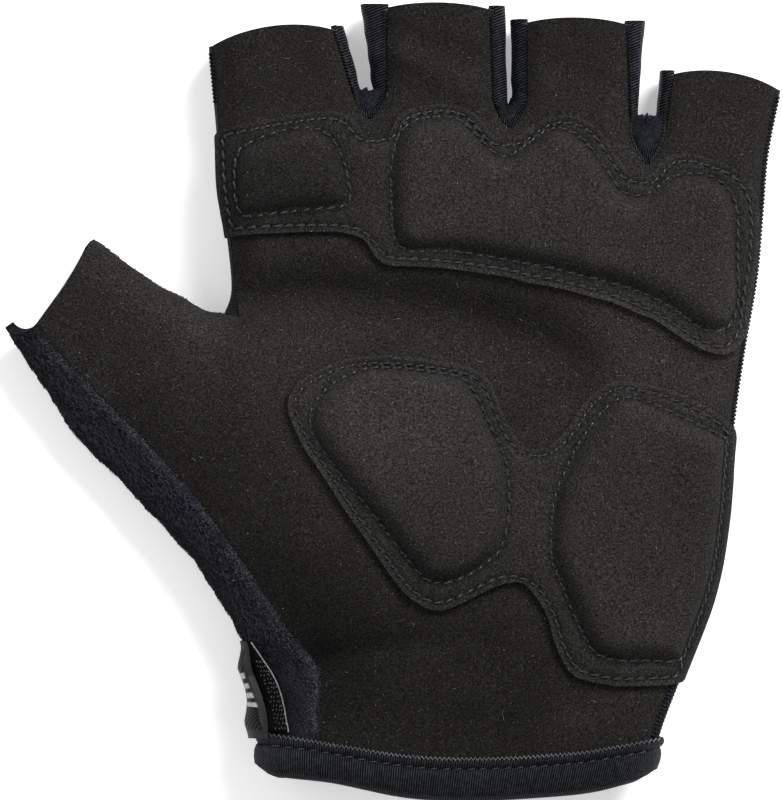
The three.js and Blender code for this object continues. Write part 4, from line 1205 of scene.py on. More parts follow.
@dataclass(frozen=True)
class HookNylon(Finish):
    """Black nylon hook tape, whose woven ground lies in shade."""

    def paint(self, nodes: Nodes) -> None:
        """Makes the woven ground of the tape."""
        weave = nodes.wave(nodes.mark("along"), 0.5)
        nodes.finish_colour(self.tint(nodes, weave))
        nodes.bump(weave, 0.1, 0.8)
        nodes.set(Roughness=0.8, Specular_IOR_Level=0.06)


PALM_SUEDE = Suede("palm_suede", "palm_suede", (0.0056, 0.0052, 0.0046), (0.0262, 0.0252, 0.0238))
PATCH_SUEDE = Suede("patch_suede", "patch_suede", (0.0062, 0.0058, 0.0053), (0.0305, 0.0295, 0.0282))
BACK_KNIT = Knit("back_knit", "back_knit", (0.0035, 0.0036, 0.005), (0.017, 0.0175, 0.025))
THUMB_PILE = Terry("thumb_terry", "thumb_terry", (0.0025, 0.0026, 0.0036), (0.017, 0.0175, 0.0225))
TUFT_PILE = Thread("terry_tufts", "thumb_terry", (0.0045, 0.0046, 0.006), (0.031, 0.032, 0.038))
EDGE_PILE = Thread("terry_edge", "thumb_terry", (0.009, 0.0095, 0.0125), (0.052, 0.054, 0.064))
# The tapes' light tone is the painted highlight on the ribs' crests, their dark tone the painted shade
# between the ribs.
ELASTIC = RibbedTape("elastic_tape", "elastic_tape", (0.0009, 0.001, 0.0014), (0.029, 0.031, 0.037))
FINGER_ELASTIC = RibbedTape(
    "finger_tape", "elastic_tape", (0.0007, 0.0008, 0.0011), (0.034, 0.0365, 0.044), rib=0.52
)
BRAID = Thread("edge_braid", "elastic_tape", (0.006, 0.0065, 0.008), (0.056, 0.06, 0.07))
STITCH = Thread("stitch_thread", "patch_suede", (0.0018, 0.0018, 0.002), (0.026, 0.0265, 0.028))
BINDING_STITCH = Thread("binding_thread", "elastic_tape", (0.0015, 0.0015, 0.002), (0.014, 0.0145, 0.017))
# The dark discs of painted shade where the thread dives into the suede.
NEEDLE_HOLE_SHADE = Thread("needle_holes", "patch_suede", (0.0009, 0.0009, 0.0009), (0.0015, 0.0015, 0.0015))
LINT = Thread("lint", "palm_suede", (0.05, 0.048, 0.045), (0.17, 0.165, 0.155))
RUBBER = MouldedRubber("tab_rubber", "tab_rubber", (0.014, 0.0148, 0.016), (0.024, 0.0255, 0.028))
HOOK = HookNylon("hook_tape", "hook_tape", (0.001, 0.001, 0.0012), (0.004, 0.004, 0.0045))
SELVEDGE = Thread("selvedge", "hook_tape", (0.06, 0.062, 0.066), (0.22, 0.225, 0.235))
HOOK_ENDS = Thread("hook_ends", "hook_tape", (0.03, 0.031, 0.033), (0.13, 0.133, 0.14))


@dataclass
class Panels:
    """The sewn cloths of the hand: the suede palm and the knit back."""

    workshop: Workshop
    palm_spacing: float = 1.25
    back_spacing: float = 1.6
    edge_step: float = 0.9
    rings: tuple[float, ...] = (0.25, 0.7, 1.4, 2.3, 3.3)

    @property
    def plan(self) -> Plan:
        """Gives the plan of the glove."""
        return self.workshop.plan

    def side_line(self, line: Array) -> Array:
        """Gives the suede's side edge in even steps, set in from the outline."""
        even = resample(line, self.edge_step)
        return even + left_normals(even) * self.plan.seam_inset(even)[:, None]

    def fingers(self, right: Array, left: Array) -> Array:
        """Gives the edge over all finger hems and slots, from the little finger to the index finger."""
        plan = self.plan
        pieces = []
        for number in range(len(HEMS) - 1, -1, -1):
            start = left if number == 0 else plan.slot_edges[number - 1][1][-1]
            end = right if number == len(HEMS) - 1 else plan.slot_edges[number][0][-1]
            pieces.append(plan.hem(number, start, end)[::-1][1:-1])
            if number:
                left_edge, right_edge = plan.slot_edges[number - 1]
                pieces += [right_edge[::-1], left_edge[1:]]
        return np.vstack(pieces)

    def seam_to_wrist(self) -> Array:
        """Gives the seam between suede and terry, from the fork down to the wrist."""
        return resample(self.plan.wrist_seam, self.edge_step)

    def palm_outline(self) -> Array:
        """Draws the suede palm with the palm side of the thumb."""
        plan = self.plan
        right = self.side_line(plan.right_side)
        index = self.side_line(plan.index_side)
        wedge, wedge_top = plan.place([WEDGE, WEDGE_TOP])
        index = index[index[:, 1] > wedge_top[1]]
        width = np.linalg.norm(plan.wrist([1]) - plan.wrist([0]))
        inset = plan.seam_inset(plan.right_side[:1])[0]
        wrist = plan.wrist(np.linspace(plan.WRIST_SEAM_SHARE, 1 - inset / width, 60))
        top = resample(plan.thumb_top, self.edge_step)
        hem = resample(plan.thumb_hem, self.edge_step)[::-1]
        seam = resample(plan.terry_seam, self.edge_step)
        sides = [right[right[:, 1] > wrist[-1, 1] + 0.4], self.fingers(right[-1], index[0]), index]
        return np.vstack([wrist, *sides, wedge, top[1:], hem[1:-1], seam, self.seam_to_wrist()[1:-1]])

    def palm(self) -> None:
        """Makes the suede palm."""
        sheet = fill(self.palm_outline(), self.palm_spacing, self.rings)
        skin = lay(self.plan, [(sheet, Side.PALM)])
        # The nap mark holds the nap's tone together with painted shade and painted light of the palm's slopes
        # and creases.
        marks = {"nap": np.tile(self.plan.nap(sheet.plan), 2)}
        mesh = thicken(skin, -self.plan.sizes.suede, 0)
        piece = self.workshop.add("palm_cloth", mesh, PALM_SUEDE, marks)
        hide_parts("palm_panel")
        declare_cloth(piece, sheet)

    def wrap(self, line: Array, insets: Array) -> Sheet:
        """Makes the strip of the back that turns over a side edge onto the palm side."""
        normals = left_normals(line)
        shares = (0.0, 0.08, 0.25, 0.5, 0.75, 1.0)
        return grid_sheet([line + normals * (insets * share)[:, None] for share in shares])

    def back(self) -> None:
        """Makes the knit back with its turned side edges."""
        plan = self.plan
        right, index = resample(plan.right_side, self.edge_step), resample(plan.index_side, self.edge_step)
        root = resample(plan.thumb_root, self.edge_step)[::-1]
        wrist = plan.wrist(np.linspace(plan.WRIST_SEAM_SHARE, 1, 60))
        outline = np.vstack(
            [
                wrist[:-1], right, self.fingers(right[-1], index[0]), index,
                root[1:-1], self.seam_to_wrist()[:-1],
            ]
        )
        sheet = fill(outline, self.back_spacing, self.rings)
        near = plan.sizes.seam_inset - 0.15
        wedge, wedge_top = plan.place([WEDGE, WEDGE_TOP])
        deep = np.linalg.norm(wedge - plan.crotch) - 0.15
        share = np.clip((wedge_top[1] - index[:, 1]) / (wedge_top[1] - plan.crotch[1]), 0, 1)
        left_strip = self.wrap(index, near + (deep - near) * share)
        right_strip = self.wrap(right, plan.seam_inset(right) - 0.15)
        skin = lay(plan, [(sheet, Side.BACK), (left_strip, Side.PALM), (right_strip, Side.PALM)])
        piece = self.workshop.add("back_cloth", thicken(skin, -plan.sizes.knit, 0), BACK_KNIT)
        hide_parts("back_panel")
        declare_cloth(piece, sheet)


def declare_cloth(piece: Piece, *sheets: Sheet) -> None:
    """Gathers the points and the triangle corners of a cloth's flat pattern, and does nothing with them."""
    plans = np.vstack([sheet.plan for sheet in sheets])
    for sheet in sheets:
        a, b, c = (sheet.plan[sheet.triangles[:, k]] for k in range(3))


@dataclass
class ThumbTerry:
    """The terry cloth of the thumb's back, turned over the outer edge as far as the seam."""

    workshop: Workshop
    spacing: float = 0.9
    sole_spacing: float = 1.6
    edge_step: float = 0.8
    puff: float = 0.9
    seam_gap: float = 0.12
    hem_inset: float = 0.6
    fibre: float = 0.06
    tufts: int = 18500
    tuft_length: float = 1.15
    edge_tufts: int = 3400

    def outlines(self) -> tuple[Array, Array]:
        """Draws the terry cloth's part on the palm side and its part on the back."""
        plan = self.workshop.plan
        lines = (plan.thumb_side, plan.terry_edge, plan.thumb_root, plan.wrist_seam)
        outer, seam, root, low = (resample(line, self.edge_step) for line in lines)
        top, hem = (resample(line, self.edge_step) for line in (plan.thumb_top, plan.thumb_hem))
        seam = (seam - left_normals(seam) * self.seam_gap)[1:-1]
        hem = hem + left_normals(hem) * self.hem_inset
        wrist = plan.wrist(np.linspace(0, plan.WRIST_SEAM_SHARE, 14))[1:-1]
        tip = resample(plan.line(THUMB_TIP), 0.5)
        near_tip = tip[np.linalg.norm(tip - seam[0], axis=1) > 0.4][:-1]
        on_palm = np.vstack([outer, wrist, seam[::-1], near_tip])
        on_back = np.vstack([outer, wrist, low[:0:-1], root, top[1:], hem[-2:0:-1], tip[2:-1]])
        return on_palm, on_back

    def swell(self, from_seam: Array) -> Array:
        """Gives how far the cloth puffs up over the palm side at some distances from the seam."""
        return self.puff * (1 - np.exp(-from_seam / 0.9)) * np.exp(-from_seam / 7.0)

    def make(self) -> None:
        """Makes the terry cloth and its tufts."""
        plan = self.workshop.plan
        on_palm, on_back = self.outlines()
        rings = (0.25, 0.7, 1.4, 2.3)
        palm_part, back_part = fill(on_palm, self.spacing, rings), fill(on_back, self.sole_spacing, rings)
        skin = lay(plan, [(palm_part, Side.PALM), (back_part, Side.BACK)])
        away = Edges.of(plan.terry_edge).distance(skin.points[:, :2])
        rough = clouds(skin.points, (0.16, 0.9, 11.0), (0.22, 2.4, 12.0))
        high = self.swell(away) * (skin.normals[:, 2] > 0) + rough * np.where(away < 0.6, 0.3, 1.0)
        piece = self.workshop.add("thumb_cloth", thicken(skin, -plan.sizes.terry, high), THUMB_PILE)
        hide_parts("thumb_terry")
        declare_cloth(piece, palm_part, back_part)
        self.add_tufts(skin, high)
        self.add_edge_tufts()

    def add_tufts(self, skin: Skin, high: Array) -> None:
        """Scatters the loose loops of the pile over the cloth, leaning along the thumb."""
        random = np.random.default_rng(7)
        corners = skin.points[skin.triangles]
        areas = np.linalg.norm(np.cross(corners[:, 1] - corners[:, 0], corners[:, 2] - corners[:, 0]), axis=1)
        middles = corners.mean(axis=1)[:, :2]
        to_side = Edges.of(self.workshop.plan.thumb_side).distance(middles)
        areas *= (skin.normals[skin.triangles[:, 0], 2] > -0.2) | (to_side < 5.0)
        picks = random.choice(len(areas), self.tufts, p=areas / areas.sum())
        weights = random.dirichlet((1, 1, 1), self.tufts)[:, :, None]
        chosen = skin.triangles[picks]
        normals = (skin.normals[chosen] * weights).sum(axis=1)
        feet = (skin.points[chosen] * weights).sum(axis=1)
        feet += normals * ((high[chosen] * weights[:, :, 0]).sum(axis=1) - 0.15)[:, None]
        lean = np.array([0.72, -0.68, 0.0]) + random.normal(0, 0.38, (self.tufts, 3))
        lean = along_cloth(lean, normals)
        size = self.tuft_length * random.uniform(0.6, 1.3, self.tufts)[:, None]
        bend = random.uniform(0.1, 0.32, self.tufts)[:, None]
        middle = feet + (lean * 0.5 + normals * bend) * size
        tips = feet + (lean + normals * bend * 0.6) * size
        self.workshop.add("terry_tufts", strands(feet, middle, tips, normals, self.fibre), TUFT_PILE)

    def add_edge_tufts(self) -> None:
        """Plants the paler curled loops where the cloth is turned in beside the suede."""
        plan = self.workshop.plan
        random = np.random.default_rng(17)
        places = random.uniform(3.0, lengths(plan.terry_edge)[-1] - 7.0, self.edge_tufts)
        from_seam = 0.25 + random.gamma(1.6, 0.42, self.edge_tufts)
        even = resample(plan.terry_edge, 0.3)
        steps = np.arange(len(even)) * lengths(even)[-1] / (len(even) - 1)
        way = points_at(-left_normals(even), places, steps)
        way *= np.where(way.sum(axis=1) < 0, 1, -1)[:, None]
        spots = points_at(even, places) + way * from_seam[:, None]
        at, normals = plan.surface(spots, Side.PALM)
        feet = at + normals * (self.swell(from_seam) - 0.1)[:, None]
        lean = random.normal(0, 0.8, (self.edge_tufts, 3)) + np.column_stack([way * 0.3, way[:, 0] * 0])
        lean = along_cloth(lean, normals)
        size = random.uniform(0.35, 0.8, self.edge_tufts)[:, None]
        middle = feet + (lean * 0.45 + normals * 0.55) * size
        tips = feet + (lean + normals * 0.45) * size
        self.workshop.add("terry_edge_tufts", strands(feet, middle, tips, normals, self.fibre), EDGE_PILE)


def along_cloth(lean: Array, normals: Array) -> Array:
    """Turns directions so that they lie along the cloth, with a length of 1."""
    return unit(lean - (lean * normals).sum(axis=1)[:, None] * normals)


def strands(feet: Array, middle: Array, tips: Array, normals: Array, radius: float) -> Mesh:
    """Makes bent three-sided fibres.

    Args:
        feet: Where each fibre starts.
        middle: Where it bends.
        tips: Where it ends in a point.
        normals: The cloth's normal under each.
        radius: Its thickness at the foot.

    Returns:
        The vertices and triangles of all the fibres.
    """
    run = tips - feet
    side = np.cross(run, normals)
    side /= np.maximum(np.linalg.norm(side, axis=1), 1e-6)[:, None]
    ring = rings_of(side, np.cross(side, unit(run)), 3)
    low, high = feet[:, None] + ring * radius, middle[:, None] + ring * radius * 0.8
    vertices = np.concatenate([low, high, tips[:, None]], axis=1)
    faces = [(0, 2, 1)]
    for k in range(3):
        n = (k + 1) % 3
        faces += [(k, n, 3 + n), (k, 3 + n, 3 + k), (3 + k, 3 + n, 6)]
    offsets = np.arange(len(feet))[:, None, None] * 7
    return vertices.reshape(-1, 3), (np.array(faces)[None] + offsets).reshape(-1, 3)


@dataclass
class Sewing:
    """Rows of lockstitch: each stitch is a short thread that dives into the cloth at both ends."""

    plan: Plan
    pitch: float = 2.15
    seen: float = 1.45
    thickness: float = 0.18
    twist: float = 0.16
    hole_radius: float = 0.42
    hole_sides: int = 7
    rises: tuple[float, ...] = (-0.32, 0.05, 0.2, 0.24, 0.2, 0.05, -0.32)
    girths: tuple[float, ...] = (0.6, 0.95, 1.05, 1.1, 1.05, 0.95, 0.6)

    def row(
        self, line: Array, height: Callable[[Array], Array], closed: bool, seed: int
    ) -> tuple[Mesh, Mesh]:
        """Makes the stitches of one row.

        Args:
            line: The row's plan line.
            height: The height of the cloth over the palm surface at plan points.
            closed: Whether the row returns to its start.
            seed: The seed of the small unevenness.

        Returns:
            The mesh of the stitches and the mesh of the dark discs of painted shade at the needle holes
            between them.
        """
        random = np.random.default_rng(seed)
        whole = with_start(line) if closed else line
        total = lengths(whole)[-1]
        count = max(int(total / self.pitch), 1)
        pitch = total / count
        parts, holes = [], []
        profile = np.array(self.rises)
        for k in range(count):
            start = k * pitch + random.normal(0, 0.06)
            span = self.seen * random.uniform(0.9, 1.08)
            places = np.clip(np.linspace(start, start + span, len(profile)), 0, total)
            points = points_at(whole, places)
            run = points[-1] - points[0]
            if np.linalg.norm(run) < 0.4 * self.seen:
                continue
            side = np.array([-run[1], run[0]]) / np.linalg.norm(run)
            points = points + side * (np.linspace(-1, 1, len(profile)) * self.twist)[:, None]
            at, normal = self.plan.surface(points, Side.PALM)
            middle = at + normal * (height(points) + profile)[:, None]
            parts.append(tube(middle, self.thickness * np.array(self.girths), 6))
            # A dark disc of painted shade where the stitch dives in.
            holes.append(at[-1] + normal[-1] * (height(points)[-1] + 0.06))
        return join(parts), join([self.hole(place, random) for place in holes])

    def hole(self, place: Array, random: np.random.Generator) -> Mesh:
        """Makes the painted shade of one needle hole: a dark flat disc with a low point above and below."""
        count = self.hole_sides
        index = np.arange(count)
        turn = index * math.tau / count
        size = self.hole_radius * random.uniform(0.8, 1.25)
        ring = place + np.column_stack([np.cos(turn) * size, np.sin(turn) * size, turn * 0])
        vertices = np.vstack([ring, place + [0, 0, 0.05], place - [0, 0, 0.2]])
        after = np.roll(index, -1)
        above, below = np.full(count, count), np.full(count, count + 1)
        return vertices, np.vstack([triples(index, after, above), triples(after, index, below)])


@dataclass
class PaddedPatch:
    """A suede patch with its padded fields and their rows of stitches."""

    workshop: Workshop
    name: str
    node: str
    table: tuple[SectionRow, ...]
    fields: tuple[tuple[str, str, tuple[SectionRow, ...], float], ...]
    thickness: float = 1.1
    lift: float = 0.12
    spacing: float = 1.1
    base_rings: tuple[float, ...] = (0.2, 0.6, 1.1, 1.6, 2.1)
    field_rings: tuple[float, ...] = (0.25, 0.6, 1.1, 1.7, 2.5, 3.4)
    edge_step: float = 0.7
    raw_row: float = 1.35
    rounding: float = 4.0
    margin: float = 0.45
    groove: float = 0.36
    groove_width: float = 0.55
    # Painted shade in the groove along the stitched rows, then the painted highlight along the raw edge and
    # its width.
    stitch_groove_shade: float = 0.55
    edge_highlight: float = 0.22
    edge_width: float = 1.8
    side_inset: float = 0.7
    field_inset: float = 2.0
    seed: int = 1

    def outline(self) -> Array:
        """Draws the patch's raw edge."""
        return self.workshop.plan.sections(self.table, self.side_inset)

    def height(self, points: Array) -> Array:
        """Gives the height of the patch's face: it sinks a little along the stitches and at its edge."""
        low = np.full(len(points), self.lift + self.thickness)
        for row in self.rows:
            low -= self.groove * hump(Edges.of(with_start(row)).distance(points), self.groove_width)
        return low

    @cached_property
    def rows(self) -> list[Array]:
        """Gives the closed rows of stitches: one along the raw edge and one round each padded field."""
        outline = self.outline()
        inner = smooth_closed(outline + left_normals(outline, closed=True) * self.raw_row, 4)
        clear = Edges.of(with_start(outline)).distance(inner) > self.raw_row * 0.9
        inner = resample(smooth_closed(inner[clear], 3), 0.5, closed=True)
        return [inner] + [self.field_outline(table) for _, _, table, _ in self.fields]

    def field_outline(self, table: tuple[SectionRow, ...]) -> Array:
        """Draws the outline of a padded field."""
        return self.workshop.plan.sections(table, self.field_inset)

    def tone(self, points: Array) -> Array:
        """Gives the nap's tone with painted shade, darker in the groove along each stitched row, and a
        painted highlight along the raw edge.
        """
        tone = self.workshop.plan.nap(points)
        for row in self.rows:
            # Painted shade in the groove along each stitched row.
            tone *= 1 - self.stitch_groove_shade * hump(Edges.of(with_start(row)).distance(points), self.groove_width)
        away = Edges.of(with_start(self.outline())).distance(points)
        # A painted highlight along the raw edge.
        return tone * (1 + self.edge_highlight * hump(away, self.edge_width))

    def base(self) -> None:
        """Makes the flat suede of the patch."""
        plan = self.workshop.plan
        sheet = fill(resample(self.outline(), self.edge_step, closed=True), self.spacing, self.base_rings)
        skin = lay(plan, [(sheet, Side.PALM)])
        high = self.height(sheet.plan) + 0.03 * cloud(sheet.plan, 1.6, 21.0)
        # The nap mark carries painted shade and a painted highlight along with the nap's tone.
        marks = {"nap": np.tile(self.tone(sheet.plan), 2)}
        piece = self.workshop.add(self.name, thicken(skin, self.lift - 0.1, high), PATCH_SUEDE, marks)
        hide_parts(self.node)

    def field(self, name: str, node: str, table: tuple[SectionRow, ...], rise: float) -> None:
        """Makes one padded field, which swells up from its row of stitches."""
        plan = self.workshop.plan
        outline = resample(self.field_outline(table), self.edge_step, closed=True)
        sheet = fill(outline, self.spacing, self.field_rings)
        skin = lay(plan, [(sheet, Side.PALM)])
        distance = Edges.of(with_start(outline)).distance(sheet.plan)
        turn = 1 - np.clip((distance - self.margin) / self.rounding, 0, 1)
        dome = rise * (1 - turn**2.4)
        broad = 0.4 * (1 - np.exp(-distance / 9.0))
        uneven = clouds(sheet.plan, (0.12, 6.0, 31.0), (0.05, 2.2, 32.0)) * (1 - turn)
        base = self.lift + self.thickness - self.groove
        # The nap mark carries painted shade and a painted highlight along with the nap's tone.
        marks = {"nap": np.tile(self.tone(sheet.plan), 2)}
        mesh = thicken(skin, self.lift + 0.2, base + dome + broad + uneven)
        piece = self.workshop.add(name, mesh, PATCH_SUEDE, marks)
        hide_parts(node)

    def make(self) -> None:
        """Makes the patch, its padded fields and all their stitches."""
        self.base()
        for name, node, table, rise in self.fields:
            self.field(name, node, table, rise)
        sewing = Sewing(self.workshop.plan)
        parts = [
            sewing.row(line, self.height, True, self.seed + number) for number, line in enumerate(self.rows)
        ]
        self.workshop.add(f"{self.name}_stitches", join([stitches for stitches, _ in parts]), STITCH)
        # The dark discs of painted shade at the needle holes.
        self.workshop.add(f"{self.name}_needle_holes", join([holes for _, holes in parts]), NEEDLE_HOLE_SHADE)


@dataclass
class Gusset:
    """The elastic tape between two fingers, with the braided edge that shows beside the suede."""

    workshop: Workshop
    number: int
    thickness: float = 0.9
    tuck: float = 1.0
    overhang: float = 0.7
    crumple: float = 0.3
    braid_pitch: float = 0.66
    braid_width: float = 0.85
    rib_slant: float = 0.4
    columns: int = 150
    tuck_reach: float = 1.5
    tuck_delay: float = 0.6
    least_tuck: float = 0.1
    end_crumple: float = 0.12
    crumple_size: float = 2.2
    bottom_reach: float = 5.0
    braid_radius: float = 0.14
    section: tuple[tuple[float, float, float, float], ...] = (
        (0.0, 1.0, 1.0, -1.35), (0.0, 0.3, 1.0, -1.35), (0.03, 0.0, 1.0, -1.1), (0.12, 0.0, 1.0, -0.55),
        (0.26, 0.0, 1.0, -0.25), (0.44, 0.0, 1.0, -0.3), (0.62, 0.0, 0.98, -0.4), (0.8, 0.0, 0.94, -0.5),
        (0.93, 0.0, 0.84, -0.3), (1.0, 0.0, 0.68, 0.0), (1.0, 0.0, 0.5, 0.0), (1.0, 0.0, 0.32, 0.0),
        (0.88, 0.0, 0.16, 0.4), (0.6, 0.0, 0.04, 0.7), (0.28, 0.0, 0.0, 1.0), (0.0, 0.3, 0.0, 1.1),
        (0.0, 1.0, 0.0, 1.1),
    )

    def stations(self) -> tuple[Array, Array]:
        """Gives the suede's edge round the slot and the tape's fold beside it."""
        plan = self.workshop.plan
        slot = SLOTS[self.number]
        bottom = plan.place([slot.bottom])[0]
        edges = plan.slot_edges[self.number]
        sizes = plan.sizes
        straight = [edge[Plan.ROUND_STEPS :] for edge in edges]

        def fold_at(side: int, levels: Array) -> Array:
            """Gives the fold of one side at some levels."""
            left, right = (at_level(line, levels)[:, 0] for line in straight)
            share = (levels - bottom[1] - slot.fold_rise) / sizes.finger_length
            part = slot.low[side] + (slot.high[side] - slot.low[side]) * share
            return np.column_stack([left + (right - left) * part, levels])

        start = np.array([bottom[1] + slot.fold_rise])
        middle = (fold_at(0, start)[0] + fold_at(1, start)[0]) / 2
        folds = []
        for side, edge in enumerate(edges):
            above = edge[:, 1] >= start[0]
            count = int((~above).sum())
            share = np.linspace(0, 1, count, endpoint=False)[:, None]
            low = middle * (1 - share) + fold_at(side, start)[0] * share
            folds.append(np.vstack([low, fold_at(side, edge[above][:, 1])]))
        edge = np.vstack([edges[0][::-1], edges[1][1:]])
        fold = np.vstack([folds[0][::-1], folds[1][1:]])
        return self.lengthened(edge), self.lengthened(fold)

    def lengthened(self, line: Array) -> Array:
        """Runs a line on past its ends, as the tape's cut ends stand out over the hems."""
        first, last = unit(np.array([line[0] - line[1], line[-1] - line[-2]])) * self.overhang
        return np.vstack([line[0] + first, line, line[-1] + last])

    def make(self) -> None:
        """Makes the tape and its braid."""
        plan = self.workshop.plan
        edge, fold = self.stations()
        places = np.linspace(0, lengths(edge)[-1], self.columns)
        shares = lengths(edge)
        edge, fold = (points_at(line, places, shares) for line in (edge, fold))
        top = plan.surface(edge, Side.PALM)[0][:, 2]
        low = plan.surface(edge, Side.BACK)[0][:, 2]
        width = np.linalg.norm(fold - edge, axis=1)
        from_end = np.minimum(places, places[-1] - places)
        hidden = np.clip(from_end / self.tuck_reach - self.tuck_delay, self.least_tuck, 1) * self.tuck
        rows = []
        for reach, tuck, height, rise in self.section:
            flat = edge + (fold - edge) * (reach - tuck * hidden / width)[:, None]
            rows.append(np.column_stack([flat, low + (top - low) * height + rise]))
        grid = np.array(rows)
        reaches = np.array([row[0] for row in self.section])
        along_places = np.column_stack([places, places * 0])
        bottom = hump(places - places[-1] / 2, self.bottom_reach)
        for axis, seed in ((0, 41.0), (1, 46.0)):
            strength = self.end_crumple + self.crumple * bottom
            wobble = cloud(along_places, self.crumple_size, seed + self.number) * strength
            grid[2:-2, :, axis] += wobble * reaches[2:-2, None]
        normals = unit(np.cross(np.gradient(grid, axis=1), np.gradient(grid, axis=0)).reshape(-1, 3))
        skin = Skin(grid.reshape(-1, 3), normals, grid_triangles(*grid.shape[:2]))
        slanted = self.rib_slant * reaches[:, None] * np.minimum(width, self.bottom_reach)
        marks = np.tile((places + slanted).reshape(-1), 2)
        name = SLOTS[self.number].name
        mesh = thicken(skin, -self.thickness, 0)
        piece = self.workshop.add(f"{name}_tape", mesh, FINGER_ELASTIC, {"along": marks})
        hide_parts(f"gusset_{name}")
        self.add_braid(edge, fold, top, name)

    def add_braid(self, edge: Array, fold: Array, top: Array, name: str) -> None:
        """Makes the zigzag of bright thread that lies on the tape along the suede's edge."""
        shares = lengths(edge)
        places = np.arange(self.overhang, shares[-1] - self.overhang, self.braid_pitch / 2)
        base, end = (points_at(line, places, shares) for line in (edge, fold))
        width = np.linalg.norm(end - base, axis=1)
        outer = np.arange(len(places)) % 2 == 1
        reach = np.where(outer, np.minimum(self.braid_width / width, 0.6), -0.1 / width)
        flat = base + (end - base) * reach[:, None]
        rises = np.interp(reach, [0, 0.12, 0.26, 0.62], [-0.45, 0.05, 0.3, 0.1])
        middle = np.column_stack([flat, np.interp(places, shares, top) + rises])
        self.workshop.add(f"{name}_braid", tube(middle, self.braid_radius, 5), BRAID)


@dataclass
class WristBinding:
    """The ribbed tape folded over the wrist edge, its narrow upper band and its stitches."""

    workshop: Workshop
    tape: float = 0.8
    gap: float = 0.3
    fold: float = 2.2
    groove_at: float = 3.9
    corner: float = 0.045
    measured_row: int = 8
    braid_step: float = 0.42
    braid_radius: float = 0.2

    @property
    def flange(self) -> float:
        """Gives how far the tape reaches up over the cloth."""
        return self.workshop.plan.sizes.binding_flange

    def profile(self) -> list[tuple[float, float]]:
        """Gives the section of the folded tape: depth over the cloth, and height above the wrist line."""
        out, inner = self.gap + self.tape, -self.workshop.plan.sizes.terry - self.gap
        back = inner - self.tape
        outside = [
            (self.gap, self.flange), (out - 0.25, self.flange), (out + 0.1, self.flange - 0.5),
            (out + 0.12, self.groove_at + 0.9), (out - 0.1, self.groove_at + 0.35),
            (out - 0.35, self.groove_at), (out, self.groove_at - 0.4), (out + 0.3, self.groove_at - 1.2),
            (out + 0.42, 1.5), (out + 0.3, 0.0), (out - 0.1, -1.2), (out - 0.9, -2.0), (-0.8, -self.fold),
        ]
        mirrored = [(back + out - depth, above) for depth, above in reversed(outside[1:-1])]
        return outside + mirrored + [(inner, self.flange), (inner, -0.3), (self.gap, -0.3)]

    def make(self) -> None:
        """Makes the binding and the stitches in its groove."""
        plan = self.workshop.plan
        half = 0.5 * (1 - np.cos(np.linspace(0, math.pi, 180)))
        rows = []
        for depth, above in self.profile():
            row = []
            for side in (Side.PALM, Side.BACK):
                picked = half if side is Side.PALM else half[::-1]
                line = plan.wrist(picked, above)
                from_end = np.minimum(picked, 1 - picked) / self.corner
                line[:, 1] -= min(above, 0) * (1 - np.sqrt(1 - (1 - np.minimum(from_end, 1)) ** 2))
                at, normal = plan.surface(line, side)
                row.append(at + normal * depth)
            rows.append(np.vstack(row))
        grid = np.array(rows)
        sections, count = grid.shape[:2]
        index = np.arange(sections * count).reshape(sections, count)
        turn = np.roll(index, -1, axis=1)
        down, down_turn = np.roll(index, -1, axis=0), np.roll(turn, -1, axis=0)
        faces = np.concatenate([triples(turn, down_turn, index), triples(down_turn, down, index)])
        marks = {"along": np.tile(lengths(with_start(grid[self.measured_row]))[:-1], sections)}
        piece = self.workshop.add("wrist_tape", (grid.reshape(-1, 3), faces), ELASTIC, marks)
        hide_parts("wrist_binding")
        self.add_stitches()

    def add_stitches(self) -> None:
        """Sews the binding along its groove and adds the zigzag edge of the upper band."""
        plan = self.workshop.plan
        sewing = Sewing(plan, pitch=2.3, seen=1.7)
        line = plan.wrist(np.linspace(0.03, 0.975, 160), self.groove_at)
        depth = self.gap + self.tape - 0.3
        row, _ = sewing.row(line, lambda points: np.full(len(points), depth), False, 51)
        self.workshop.add("wrist_stitches", row, BINDING_STITCH)
        line = resample(plan.wrist(np.linspace(0.01, 0.99, 400), self.flange), self.braid_step)
        swing = np.where(np.arange(len(line)) % 2, 0.3, -0.25)
        at, normal = plan.surface(line + np.array([0.0, 1.0]) * swing[:, None], Side.PALM)
        braid = tube(at + normal * (self.gap + self.tape - 0.1), self.braid_radius, 5)
        self.workshop.add("wrist_braid", braid, BRAID)


@dataclass(frozen=True)
class StrapLayer:
    """A layer of the closure.

    It has its table column, longest reach, length, faces and lowest level, and says how much it thins
    at its foot and sinks at its top.
    """

    column: int
    wrap: float
    length: float
    low: float
    high: float
    foot: float
    foot_taper: float = 0.0
    sink: float = 0.0


